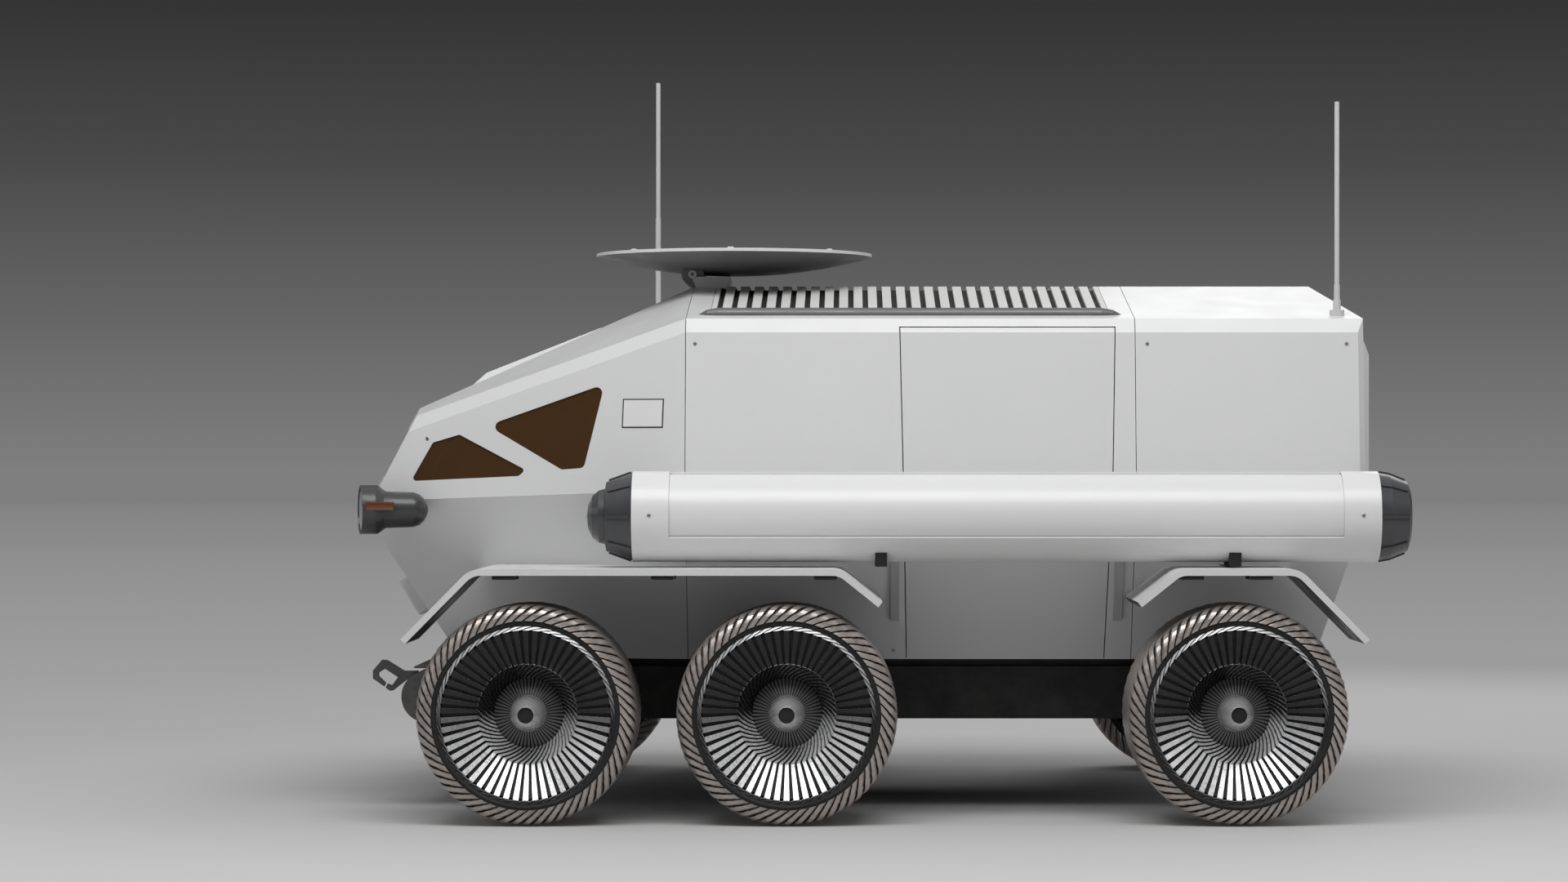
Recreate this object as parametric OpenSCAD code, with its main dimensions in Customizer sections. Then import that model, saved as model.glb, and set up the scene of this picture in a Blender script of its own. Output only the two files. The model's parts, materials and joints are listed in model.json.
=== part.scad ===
// Six-wheeled crewed rover with a pressurised cabin, rolled side arrays and a roof dish.
// +X is forward, +Y is left and +Z is up, and the origin is on the ground under its middle.

/* [Cabin section] */
// Height of the cabin floor's underside above the ground
sill_z = 871; // [850:1:950]
// Half width of the cabin at the sill
sill_half = 1285; // [1100:5:1400]
// Height of the belt line above the sill
belt_rise = 984; // [900:1:1050]
// Half width of the cabin at the belt line, its widest level
belt_half = 1800; // [1700:5:1900]
// Height of the upper side panel above the belt line
side_rise = 901; // [750:1:1050]
// How far the upper side leans in over its height
side_lean = 120; // [60:5:240]
// Width of the chamfer between side and roof
eave_in = 45; // [30:1:70]
// Height of the chamfer between side and roof
eave_rise = 81; // [60:1:110]
// Height of the roof's middle above the eave
roof_rise = 241; // [180:1:300]
// Half width of the flat middle of the roof
crown_half = 250; // [150:10:500]
// Thickness of the cabin walls, floor and roof
wall = 60; // [40:1:80]

/* [Cabin length] */
// Position of the seam between nose and middle section
front_seam_x = 1084; // [1000:1:1160]
// Position of the seam between middle and rear section
rear_seam_x = -1487; // [-1560:1:-1440]
// Position of the rear wall's outer face
rear_x = -2795; // [-2850:1:-2700]
// Gap left between two cabin sections
seam = 4; // [2:1:8]
// How far the lower rear wall tucks forward at the sill
tuck = 245; // [150:5:300]
// Height of the tucked part of the rear wall
tuck_rise = 829; // [700:1:900]
// Length of the sloping rear edge of the roof
roof_tail = 169; // [100:1:240]
// Chamfer on the upright rear corners
rear_corner = 34; // [20:1:60]

/* [Nose] */
// Position of the foot of the windshield
nose_x = 2962; // [2900:1:3000]
// Height of the windshield's foot
nose_z = 1886; // [1800:1:1950]
// Half width of the nose at its front corners
nose_half = 1300; // [1200:5:1400]
// Length of the flat front roof along X
nose_roof = 1550; // [1450:1:1600]
// Drop of the front roof over that length
nose_drop = 725; // [650:1:800]
// Run of the windshield along X
shield_run = 182; // [150:1:220]
// Height of the windshield
shield_rise = 348; // [300:1:400]
// How far the front corners sweep back
nose_sweep = 77; // [40:1:120]
// Half width of the front's flat middle
nose_flat = 500; // [300:10:700]
// Height of the front band under the windshield
band_h = 235; // [200:1:350]
// How far the chin tucks back at the sill
chin_run = 491; // [350:1:500]

/* [Glass] */
// Thickness of the window panes
pane = 20; // [12:1:30]
// Depth of the panes below the outer skin
pane_in = 8; // [4:1:16]
// Corner radius of the side windows
window_r = 34; // [15:1:45]

/* [Doors] */
// Width of each side door at its top
door_w = 1238; // [1000:1:1250]
// Width of each side door at its bottom
door_foot_w = 1153; // [900:1:1200]
// Position of the middle of the side doors
door_x = -757; // [-800:1:-720]
// Height of the side doors' lower edge above the sill
door_foot = 8; // [4:1:60]
// Gap around a closed door
door_gap = 6; // [5:1:12]
// Half width of the rear door
hatch_half = 560; // [400:10:700]
// Thickness of the rear door
hatch_t = 160; // [80:1:170]
// Height of the rear door's lower edge
hatch_z0 = 1460; // [1400:5:1520]
// Height of the rear door's upper edge
hatch_z1 = 2752; // [2600:1:2780]
// How far the rear door laps over its doorway
hatch_lap = 60; // [30:1:90]

/* [Wheels] */
// Radius over the tread
wheel_r = 614; // [560:1:640]
// Width of a wheel
wheel_w = 700; // [560:5:760]
// Distance from the middle plane to a wheel's outer face
wheel_face = 2600; // [2560:5:2700]
// Inner radius of the tread ring
tread_in = 508; // [480:1:530]
// Thickness of the wheel's barrel
barrel_t = 26; // [16:1:40]
// Position of the front axle
front_axle_x = 1934; // [1900:1:2000]
// Position of the middle axle
middle_axle_x = 494; // [440:1:540]
// Position of the rear axle
rear_axle_x = -2004; // [-2060:1:-1940]
// Radius of the rim of the hub cone
cone_r = 193; // [150:1:230]
// Depth of that rim behind the wheel's outer face
cone_in = 295; // [200:5:300]
// Radius of the ring where the spokes bend
kink_r = 275; // [240:5:320]
// Depth of that ring behind the wheel's outer face
kink_in = 160; // [100:5:200]
// Radius of the foot of the hub cap
cap_r = 99; // [92:1:120]
// Depth of the hub cap's foot behind the wheel's outer face
cap_in = 225; // [150:5:240]

/* [Running gear] */
// Half width of the chassis box
chassis_half = 1180; // [1000:10:1240]
// Height of the chassis box's underside
chassis_z = 520; // [460:5:600]
// Front end of the chassis box
chassis_x1 = 2440; // [2300:5:2450]
// Rear end of the chassis box
chassis_x0 = -2530; // [-2550:5:-2450]
// Height of the recessed band between chassis and cabin
band_gap = 47; // [30:1:60]
// Distance from a wheel's outer face to its kingpin
kingpin_in = 480; // [440:5:520]
// Radius of the kingpin
kingpin_r = 24; // [18:1:32]
// Half height of the knuckle's barrel
knuckle_h = 105; // [90:1:130]
// Radius of the stub axle
stub_r = 42; // [32:1:50]
// Radius of the hub motor
motor_r = 150; // [120:5:200]
// Length of the hub motor
motor_w = 100; // [80:5:110]
// Half width of the suspension arms
arm_half = 75; // [50:5:100]
// Thickness of the suspension arms
arm_t = 62; // [40:1:80]
// Running clearance of pins and bearings
fit = 0.5; // [0.4:0.1:1]
// Clearance between moving pieces
run_gap = 6; // [5:1:10]

/* [Tow bar] */
// Radius of the bar under the nose
bar_r = 152; // [120:1:156]
// Distance of the bar's axis behind the windshield's foot
bar_back = 353; // [345:1:370]
// Height of the bar's axis above the chassis box's underside
bar_rise = 127; // [115:1:140]
// Half length of the bar
bar_half = 1180; // [1000:10:1240]
// Distance from the middle plane to the tow hook
hook_y = 1100; // [700:10:1150]
// Thickness of the tow hook
hook_t = 44; // [30:1:60]

/* [Fenders] */
// Height of the fenders' top
fender_z = 1422; // [1400:1:1440]
// Thickness of the fenders
fender_t = 36; // [20:1:40]
// Drop of the fenders' outer tips
fender_drop = 387; // [300:1:400]
// Length of the sloping outer end along X
fender_tip = 382; // [300:1:420]
// Distance from the front axle forward to the front fender's bend
fender_fore = 306; // [250:1:330]
// Distance from the middle axle back to the front fender's bend
fender_aft = 301; // [260:1:340]
// Half length of the rear fender's flat top
fender_rear_half = 334; // [300:1:360]
// Length of the short inner end along X
fender_short = 228; // [180:1:260]
// Drop of the short inner end
fender_short_drop = 182; // [140:1:200]
// Radius of the fenders' bends
fender_bend = 140; // [60:5:200]
// Width of the fenders' long sloping ends
fender_tip_w = 780; // [720:5:1300]

/* [Array tubes] */
// Outer radius of the array tubes
tube_r = 255; // [220:1:260]
// Gap between tube and belt line
tube_gap = 45; // [40:1:80]
// Height of the tube's axis
tube_z = 1707; // [1695:1:1760]
// Front end of the tube
tube_x1 = 1363; // [1300:1:1420]
// Rear end of the tube
tube_x0 = -2819; // [-2850:1:-2780]
// Length of the bands at the tube's ends
tube_band = 208; // [150:1:260]
// Thickness of the tube's shell
tube_t = 10; // [8:1:14]
// Radius of the rolled array
roll_r = 165; // [120:1:180]
// Lower edge of the tube's opening, in degrees from level
slot_lo = -27; // [-40:1:-10]
// Upper edge of the tube's opening, in degrees from level
slot_hi = 100; // [80:1:120]

/* [Roof] */
// Number of slots in the roof radiator
louvre_n = 27; // [15:1:30]
// Distance from one slot to the next
louvre_pitch = 85; // [70:1:86]
// Width of a slot
louvre_w = 33; // [20:1:45]
// Thickness of the radiator panel
radiator_t = 25; // [15:1:32]
// Front edge of the radiator panel
radiator_x1 = 950; // [900:1:1000]
// Width of the border left around the slots
louvre_edge = 30; // [20:1:60]
// Radius of the side rails on the roof
rail_r = 40; // [25:1:50]

/* [Dish] */
// Radius of the dish
dish_r = 837; // [700:1:900]
// Depth of the dish
dish_depth = 112; // [90:1:150]
// Thickness of the dish
dish_t = 18; // [12:1:30]
// Position of the dish's middle when stowed
dish_x = 850; // [800:1:900]
// Position of the tilt axis
pivot_x = 1094; // [1050:1:1120]
// Height of the tilt axis above the roof
pivot_rise = 72; // [70:1:100]
// Radius of the tilt drum
pivot_r = 66; // [50:1:66]

/* [Antennas] */
// Radius of the antenna rods
whip_r = 14; // [8:1:20]
// Height of the front antenna's tip
whip_front_z = 4444; // [4000:1:4600]
// Height of the rear antenna's tip
whip_rear_z = 4090; // [3800:1:4400]

/* [Hidden] */
far = 16000;
fine = 96;
along_x = [100, 0, 0];
along_y = [0, 100, 0];

// Heights and half widths of the cabin's section
belt_z = sill_z + belt_rise;
shoulder_z = belt_z + side_rise;
shoulder_half = belt_half - side_lean;
eave_z = shoulder_z + eave_rise;
eave_half = shoulder_half - eave_in;
top_z = eave_z + roof_rise;
roof_slope = roof_rise / (eave_half - crown_half);
crown = [front_seam_x, crown_half, top_z];
eave = [front_seam_x, eave_half, eave_z];
shoulder = [front_seam_x, shoulder_half, shoulder_z];
belt = [front_seam_x, belt_half, belt_z];
sill = [front_seam_x, sill_half, sill_z];

// A plane is its outward normal and its distance from the origin; core lies inside every plane
core = [0, 0, belt_z - 300];
function unit(v) = v / norm(v);
function plane(a, b, c) =
    let (n = unit(cross(b - a, c - a)), s = n * (a - core) < 0 ? -1 : 1)
    [s * n, s * n * a];
function other_side(p) = [[p[0].x, -p[0].y, p[0].z], p[1]];
function both(list) = concat(list, [for (p = list) other_side(p)]);

// Planes of the cabin's straight part
floor_plane = plane(sill, sill + along_x, sill + along_y);
crown_plane = plane(crown, crown + along_x, crown + along_y);
roof_plane = plane(crown, eave, crown + along_x);
side_planes = both([
    plane(shoulder, belt, shoulder + along_x),
    plane(belt, sill, belt + along_x)
]);
roof_planes = both([roof_plane, plane(eave, shoulder, eave + along_x)]);
straight_skin = concat([floor_plane, crown_plane], roof_planes, side_planes);

// Planes of the rear section
rear_wall = plane([rear_x, 0, belt_z], [rear_x, 100, belt_z], [rear_x, 0, top_z]);
tuck_plane = plane([rear_x, 0, sill_z + tuck_rise], [rear_x, 100, sill_z + tuck_rise],
    [rear_x + tuck, 0, sill_z]);
tail_plane = plane([rear_x + roof_tail, 0, top_z], [rear_x + roof_tail, 100, top_z],
    [rear_x, 0, eave_z]);
corner_foot = [rear_x, belt_half - rear_corner, belt_z];
corner_top = [rear_x + rear_corner, shoulder_half, shoulder_z];
corner_belt = [rear_x + rear_corner, belt_half, belt_z];
corner_sill = [rear_x + rear_corner, sill_half, sill_z];
rear_skin = concat(straight_skin, [rear_wall, tuck_plane, tail_plane], both([
    plane(corner_top, corner_belt, corner_foot),
    plane(corner_belt, corner_sill, corner_foot)
]));

// Planes of the nose, which narrows and slopes forward of the seam
nose_roof_x = front_seam_x + 66;
nose_roof_z = top_z - 33;
nose_slope = nose_drop / nose_roof;
function nose_roof_at(x) = nose_roof_z - nose_slope * (x - nose_roof_x);
nose_belt = [nose_x - nose_sweep, nose_half, belt_z - 65];
nose_ridge = [nose_x - 320, nose_half - 30, nose_z + 404];
shield_foot = [nose_x, 0, nose_z];
shield_head = [nose_x - shield_run, 0, nose_z + shield_rise];
brow = [shield_head.x - 80, 0, nose_roof_at(shield_head.x - 80)];
chin = [nose_x - 32, 0, nose_z - band_h];
chin_foot = [chin.x - chin_run, 0, sill_z];
flat_in = [0, nose_flat, 0];
swept = [nose_x - nose_sweep, nose_half, nose_z - 33];
nose_roof_plane = plane([nose_roof_x, 0, nose_roof_z], [nose_roof_x, 100, nose_roof_z], brow);
nose_side_planes = both([plane(shoulder, belt, nose_belt), plane(belt, sill, nose_belt)]);
nose_ridge_plane = plane(crown, eave, nose_ridge);
shield_planes = concat([plane(shield_foot, shield_foot + along_y, shield_head)],
    both([plane(shield_foot + flat_in, shield_head + flat_in, swept)]));
nose_skin = concat([floor_plane, crown_plane, nose_roof_plane], nose_side_planes,
    both([nose_ridge_plane, plane(eave, shoulder, nose_ridge)]), shield_planes,
    [plane(shield_head, shield_head + along_y, brow),
    plane(shield_foot, shield_foot + along_y, chin),
    plane(chin, chin + along_y, chin_foot)],
    both([plane(shield_foot + flat_in, chin + flat_in, swept)]));

// Raised frame of the roof window, which lies over the front roof
canopy_x0 = nose_roof_x + 490;
canopy_x1 = nose_roof_x + 1266;
canopy_half0 = crown_half + 200;
canopy_half1 = crown_half + 480;
canopy_bend = [canopy_x1 - 108, 0, nose_roof_at(canopy_x1 - 108) + 45];
canopy_foot = [canopy_x1, 0, nose_roof_at(canopy_x1) - 10];
canopy_back = [canopy_x0, 0, nose_roof_at(canopy_x0) + 6];
canopy_lean = 60;
canopy_side0 = [canopy_x0, canopy_half0, canopy_back.z];
canopy_side1 = [canopy_x1, canopy_half1, canopy_foot.z];
canopy_top = plane(canopy_back, canopy_back + along_y, canopy_bend);
canopy_skin = concat([canopy_top, plane(canopy_bend, canopy_bend + along_y, canopy_foot)],
    both([plane(canopy_side0, canopy_side1, canopy_side0 + [0, -canopy_lean, canopy_lean])]));

// Outlines with arcs at their corners
function arc_at(a, b, c, r) =
    let (u = unit(a - b), v = unit(c - b), half = acos(u * v) / 2,
        d = r / tan(half), m = b + unit(u + v) * r / sin(half),
        s = b + u * d - m, e = b + v * d - m,
        turn = (s.x * e.y - s.y * e.x) < 0 ? -1 : 1, sweep = 180 - 2 * half)
    [for (i = [0 : 6]) let (t = turn * sweep * i / 6)
        m + [s.x * cos(t) - s.y * sin(t), s.x * sin(t) + s.y * cos(t)]];
function rounded(p, r) = [for (i = [0 : len(p) - 1])
    each arc_at(p[(i + len(p) - 1) % len(p)], p[i], p[(i + 1) % len(p)], r)];

// A strip of even thickness on one side of an open line of points
function left_of(v) = [-v.y, v.x];
function heading(p, i) = unit(p[i + 1] - p[i]);
function mitre(p, i, t) =
    let (a = left_of(heading(p, max(i - 1, 0))), b = left_of(heading(p, min(i, len(p) - 2))))
    p[i] + t * (a + b) / (1 + a * b);
function strip(p, t) = concat(p, [for (i = [len(p) - 1 : -1 : 0]) mitre(p, i, t)]);

// Side windows, as points along X and Z
rear_window = rounded([[2239, 2226], [1552, 2463], [1670, 1981], [1800, 1971]], window_r);
front_window = rounded([[2689, 1905], [2561, 2128], [2404, 2174], [2010, 1969], [2053, 1934]],
    window_r / 2);

module below(p, inset = 0)
    translate(p[0] * (p[1] - inset))
        rotate([0, acos(p[0].z), atan2(p[0].y, p[0].x)])
            translate([-far / 2, -far / 2, -far]) cube(far);

module inside(planes, inset = 0) intersection_for (p = planes) below(p, inset);

module shell(planes, thick, out = 0) difference() {
    inside(planes, -out);
    inside(planes, thick - out);
}

module slab(x0, x1) translate([x0, -far / 2, -far / 2]) cube([x1 - x0, far, far]);

module box(a, b) translate(a) cube(b - a);

// A piece on the left side, or its mirror image on the right
module on_side(side) mirror([0, side < 0 ? 1 : 0, 0]) children();

module both_sides() {
    children();
    mirror([0, 1, 0]) children();
}

// An outline of X and Z points, drawn out along Y
module across(points, y0, y1)
    translate([0, y1, 0]) rotate([90, 0, 0]) linear_extrude(y1 - y0) polygon(points);

// A round piece along X whose outline has X and radius points
module lathe_x(points) rotate([0, 90, 0]) rotate_extrude($fn = fine)
    polygon([for (p = points) [p.y, p.x]]);

// A round piece along Y whose outline has radius and Y points
module lathe_y(points) rotate([-90, 0, 0]) rotate_extrude($fn = fine) polygon(points);

// The whole outer volume of the cabin, which cuts what stands on it
module cabin_volume() {
    intersection() {
        inside(nose_skin);
        slab(front_seam_x, far);
    }
    intersection() {
        inside(rear_skin);
        slab(-far, front_seam_x);
    }
}

// --- Cabin ---

window_cut = 900;
module side_window_prisms() {
    across(rear_window, window_cut, far / 2);
    across(front_window, window_cut, far / 2);
}

shield_z0 = nose_z + 44;
shield_z1 = nose_z + shield_rise - 24;
shield_half0 = nose_half - 140;
shield_half1 = nose_half - 190;
shield_outline = rounded([[-shield_half0, shield_z0], [shield_half0, shield_z0],
    [shield_half1, shield_z1], [-shield_half1, shield_z1]], window_r);
module shield_prism() translate([brow.x - 200, 0, 0]) rotate([90, 0, 90])
    linear_extrude(1000) polygon(shield_outline);

canopy_edge = 68;
roof_outline = rounded([[canopy_x0 + canopy_edge, -canopy_half0 + canopy_edge],
    [canopy_x1 - 150, -canopy_half1 + canopy_edge + 100],
    [canopy_x1 - 150, canopy_half1 - canopy_edge - 100],
    [canopy_x0 + canopy_edge, canopy_half0 - canopy_edge]], window_r);
module roof_prism() translate([0, 0, belt_z]) linear_extrude(2000) polygon(roof_outline);

module cabin_front() color("white") difference() {
    union() {
        intersection() {
            shell(nose_skin, wall);
            slab(front_seam_x + seam / 2, far);
        }
        difference() {
            intersection() {
                inside(canopy_skin);
                slab(canopy_x0, canopy_x1 + 10);
                translate([0, 0, belt_z]) cylinder(2000, far, far);
            }
            intersection_for (p = [nose_roof_plane]) below(p);
        }
    }
    both_sides() side_window_prisms();
    shield_prism();
    roof_prism();
}

module windshield() color([0.28, 0.18, 0.09]) intersection() {
    shell(nose_skin, pane, -pane_in);
    shield_prism();
}

module roof_window() color([0.05, 0.05, 0.06]) intersection() {
    difference() {
        below(canopy_top, pane_in);
        below(canopy_top, pane_in + pane);
    }
    roof_prism();
}

module side_glass(side) color([0.28, 0.18, 0.09]) on_side(side) intersection() {
    shell(nose_skin, pane, -pane_in);
    side_window_prisms();
}

door_top = shoulder_z + 34;
door_z0 = sill_z + door_foot;
module door_prism(gap) across([
    [door_x - door_w / 2 + gap, door_top - gap], [door_x + door_w / 2 - gap, door_top - gap],
    [door_x + door_foot_w / 2 - gap, door_z0], [door_x - door_foot_w / 2 + gap, door_z0]],
    shoulder_half - sill_half, far / 2);

radiator_x0 = radiator_x1 - 2 * louvre_edge - louvre_n * louvre_pitch + louvre_pitch - louvre_w;
radiator_in = 230;
radiator_gap = 3;
radiator_half = eave_half - radiator_in;
module radiator_region(gap) intersection() {
    shell(straight_skin, radiator_t);
    box([radiator_x0 - gap, -radiator_half - gap, shoulder_z],
        [radiator_x1 + gap, radiator_half + gap, top_z + 10]);
}

module cabin_mid() color("white") difference() {
    intersection() {
        shell(straight_skin, wall);
        slab(rear_seam_x + seam / 2, front_seam_x - seam / 2);
    }
    both_sides() difference() {
        door_prism(0);
        inside(side_planes, wall);
    }
    radiator_region(radiator_gap);
}

module side_door(side) color([0.93, 0.93, 0.93]) on_side(side) difference() {
    intersection() {
        inside(straight_skin);
        door_prism(door_gap);
    }
    inside(side_planes, wall);
}

module roof_radiator() color([0.9, 0.9, 0.9]) difference() {
    radiator_region(0);
    for (i = [0 : louvre_n - 1])
        translate([radiator_x1 - louvre_edge - louvre_w - i * louvre_pitch, 0, shoulder_z])
            box([0, -radiator_half + louvre_edge, 0],
                [louvre_w, radiator_half - louvre_edge, top_z - shoulder_z + 10]);
}

roof_rail_y = radiator_half + 70;
rail_end = 65;
rail_taper = 49;
rail_nose = 115;
module roof_rails() color([0.42, 0.42, 0.42]) both_sides() difference() {
    translate([0, roof_rail_y, top_z - roof_slope * (roof_rail_y - crown_half)]) lathe_x([
        [front_seam_x - rail_end, 0],
        [front_seam_x - rail_end - rail_taper, rail_r * 0.7],
        [front_seam_x - rail_end - rail_nose, rail_r],
        [rear_seam_x + rail_end + rail_nose, rail_r],
        [rear_seam_x + rail_end + rail_taper, rail_r * 0.7],
        [rear_seam_x + rail_end, 0]]);
    inside(straight_skin);
}

grip_stand = 26;
grip_t = 16;
grip_w = 48;
grip_z0 = sill_z + 226;
grip_z1 = belt_z - 40;
grip_foot = 50;
grip_gap = 23;
module grip(x) {
    module slice(out, t, z0, z1) intersection() {
        shell(side_planes, t, out);
        box([x - grip_w / 2, 0, z0], [x + grip_w / 2, far, z1]);
    }
    slice(grip_stand + grip_t, grip_t, grip_z0, grip_z1);
    for (z = [grip_z0, grip_z1 - grip_foot]) slice(grip_stand, grip_stand, z, z + grip_foot);
}
module handrails() color([0.8, 0.8, 0.8]) both_sides() {
    grip(door_x + door_w / 2 + grip_gap);
    grip(door_x - door_w / 2 - grip_gap);
}

hatch_corner = 90;
hatch_hole = rounded([[-hatch_half + hatch_lap, hatch_z0 + hatch_lap],
    [hatch_half - hatch_lap, hatch_z0 + hatch_lap], [hatch_half - hatch_lap, hatch_z1 - hatch_lap],
    [-hatch_half + hatch_lap, hatch_z1 - hatch_lap]], hatch_corner);
hinge_x = rear_x - 75;
hinge_y = hatch_half + 40;
hinge_levels = [sill_z + tuck_rise + 90, hatch_z1 - 260];
hinge_r = 20;
hinge_pin_r = 10;
hinge_h = 60;
hinge_lug = 40;
module hinge_barrel(z, h, r) translate([hinge_x, hinge_y, z]) cylinder(h, r, r, $fn = 48);

module cabin_rear() color("white") {
    difference() {
        intersection() {
            shell(rear_skin, wall);
            slab(-far, rear_seam_x - seam / 2);
        }
        translate([rear_x - 100, 0, 0]) rotate([90, 0, 90]) linear_extrude(500) polygon(hatch_hole);
    }
    for (z = hinge_levels) {
        for (low = [z - hinge_h / 2 - hinge_lug - 5, z + hinge_h / 2 + 5]) {
            hinge_barrel(low, hinge_lug, hinge_r);
            box([hinge_x, hinge_y - hinge_r, low], [rear_x, hinge_y + hinge_r, low + hinge_lug]);
        }
        hinge_barrel(z - hinge_h, 2 * hinge_h, hinge_pin_r);
    }
}

hatch_face = rear_x - run_gap - hatch_t;
hatch_bevel = 41;
hatch_brow = 97;
module hatch_bevels() {
    across([[hatch_face - 1, hatch_z1 - hatch_brow], [hatch_face - 1, hatch_z1 + 1],
        [hatch_face + hatch_bevel, hatch_z1 + 1]], -far / 2, far / 2);
    both_sides() translate([0, 0, hatch_z0 - 1]) linear_extrude(hatch_z1 - hatch_z0 + 2) polygon([
        [hatch_face - 1, hatch_half - hatch_bevel], [hatch_face + hatch_bevel, hatch_half + 1],
        [hatch_face - 1, hatch_half + 1]]);
}

module rear_door() color([0.93, 0.93, 0.93]) {
    difference() {
        inside([rear_wall, tuck_plane], -run_gap - hatch_t);
        inside([rear_wall, tuck_plane], -run_gap);
        box([-far, -far, -far], [far, far, hatch_z0]);
        box([-far, -far, hatch_z1], [far, far, far]);
        both_sides() box([-far, hatch_half, -far], [far, far, far]);
        hatch_bevels();
    }
    for (z = hinge_levels) difference() {
        union() {
            hinge_barrel(z - hinge_h / 2 + run_gap, hinge_h - 2 * run_gap, hinge_r);
            box([hinge_x - hinge_r, hatch_half - 5, z - hinge_h / 2 + run_gap],
                [hinge_x + hinge_r, hinge_y, z + hinge_h / 2 - run_gap]);
        }
        hinge_barrel(z - hinge_h, 2 * hinge_h, hinge_pin_r + fit);
    }
}

lamp_r = 141;
lamp_z = tube_z + 33;
lamp_y = nose_half + 180;
lamp_tip_x = 3000;
lamp_arm_half = 40;
lamp_side = [[-424, 0], [-418, 30], [-402, 62], [-375, 88], [-340, 101], [-158, 106], [-150, lamp_r],
    [0, lamp_r], [0, lamp_r - 10], [-28, lamp_r - 18], [-28, 0]];
module headlamps() color([0.27, 0.27, 0.27]) both_sides() {
    translate([lamp_tip_x, lamp_y, lamp_z]) lathe_x(lamp_side);
    difference() {
        box([lamp_tip_x - 310, nose_half - 100, lamp_z - lamp_arm_half],
            [lamp_tip_x - 180, lamp_y, lamp_z + lamp_arm_half]);
        inside(nose_skin);
    }
}

// --- Chassis and what hangs on it ---

module chassis() color([0.09, 0.09, 0.1]) {
    box([chassis_x0, -chassis_half, chassis_z], [chassis_x1, chassis_half, sill_z - band_gap]);
    box([chassis_x0 + 60, -chassis_half + 60, sill_z - band_gap - 1],
        [chassis_x1 - 40, chassis_half - 60, sill_z]);
}

bar_x = nose_x - bar_back;
bar_z = chassis_z + bar_rise;
bar_arm_y = 500;
bar_arm_w = 120;
bar_plate_t = 10;
bar_plate_z = bar_z + bar_r + 14;
bar_plate_x1 = bar_x + 77;
module tow_bar() color([0.3, 0.3, 0.3]) {
    translate([bar_x, -bar_half, bar_z]) rotate([-90, 0, 0])
        cylinder(2 * bar_half, bar_r, bar_r, $fn = fine);
    both_sides() box([chassis_x1, bar_arm_y, bar_z - 60],
        [bar_x, bar_arm_y + bar_arm_w, bar_plate_z]);
    box([chassis_x1, -bar_half, bar_plate_z], [bar_plate_x1, bar_half, bar_plate_z + bar_plate_t]);
}

// Outlines of a hook about the bar's axis, as X and Z points
hook_outer = [[60, 148], [142, 148], [241, 210], [271, 212], [324, 150], [324, 103],
    [259, 57], [253, 51], [224, 31], [204, 34], [168, 63], [101, 113], [60, 100]];
hook_inner = [[291, 136], [253, 160], [178, 111], [212, 63], [247, 75], [291, 117]];
hook_mouth = [[264, 44], [254, 38], [236, 80], [246, 86]];
module tow_hook() color([0.3, 0.3, 0.3]) translate([bar_x, hook_y, bar_z]) difference() {
    across(hook_outer, -hook_t / 2, hook_t / 2);
    across(hook_inner, -hook_t, hook_t);
    across(hook_mouth, -hook_t, hook_t);
    translate([0, -hook_t, 0]) rotate([-90, 0, 0]) cylinder(2 * hook_t, bar_r, bar_r, $fn = fine);
}

seat_x = 1650;
seat_y = 620;
seat_base_half = 180;
seat_half = 260;
seat_low = 300;
seat_pad = 120;
seat_back = [[-260, 420], [-130, 420], [-270, 1120], [-390, 1100]];
module crew_seats() color([0.35, 0.36, 0.38]) both_sides() translate([seat_x, seat_y, sill_z + wall]) {
    box([-seat_base_half, -seat_base_half, 0], [seat_base_half, seat_base_half, seat_low]);
    box([-seat_half, -seat_half, seat_low], [seat_half, seat_half, seat_low + seat_pad]);
    across(seat_back, -seat_half + 20, seat_half - 20);
}

console_half = 780;
console_side = [[2180, sill_z + wall], [2330, sill_z + wall], [2560, 1500], [2380, 1780], [2200, 1700]];
module console() color([0.2, 0.2, 0.22]) across(console_side, -console_half, console_half);

// --- Fenders ---

fender_y0 = sill_half - 35;
front_fender_line = [
    [front_axle_x + fender_fore + fender_tip, fender_z - fender_drop],
    [front_axle_x + fender_fore, fender_z],
    [middle_axle_x - fender_aft, fender_z],
    [middle_axle_x - fender_aft - fender_short, fender_z - fender_short_drop]];
rear_fender_line = [
    [rear_axle_x + fender_rear_half + fender_short, fender_z - fender_short_drop],
    [rear_axle_x + fender_rear_half, fender_z],
    [rear_axle_x - fender_rear_half, fender_z],
    [rear_axle_x - fender_rear_half - fender_tip, fender_z - fender_drop]];

// The line with arcs at its two bends
function bent(p, r) = [p[0], each arc_at(p[0], p[1], p[2], r), each arc_at(p[1], p[2], p[3], r), p[3]];

front_pad_x = [2054, 1178, 280];
rear_pad_x = [-1744, -2124];
pad_half = 65;
pad_t = 22;
pad_y0 = wheel_face - 260;
pad_y1 = wheel_face - 10;
module fender(line, pads, side) color([0.12, 0.12, 0.12]) on_side(side) {
    difference() {
        across(strip(bent(line, fender_bend), fender_t), fender_y0, wheel_face);
        cabin_volume();
        for (tip = [line[0], line[3]]) if (tip.y < fender_z - fender_drop + 1)
            box([tip.x - fender_tip, 0, 0], [tip.x + fender_tip, wheel_face - fender_tip_w,
                fender_z - fender_t - 1]);
    }
    for (x = pads) box([x - pad_half, pad_y0, fender_z - fender_t - pad_t],
        [x + pad_half, pad_y1, fender_z - fender_t]);
}

// --- Array tubes ---

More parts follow.
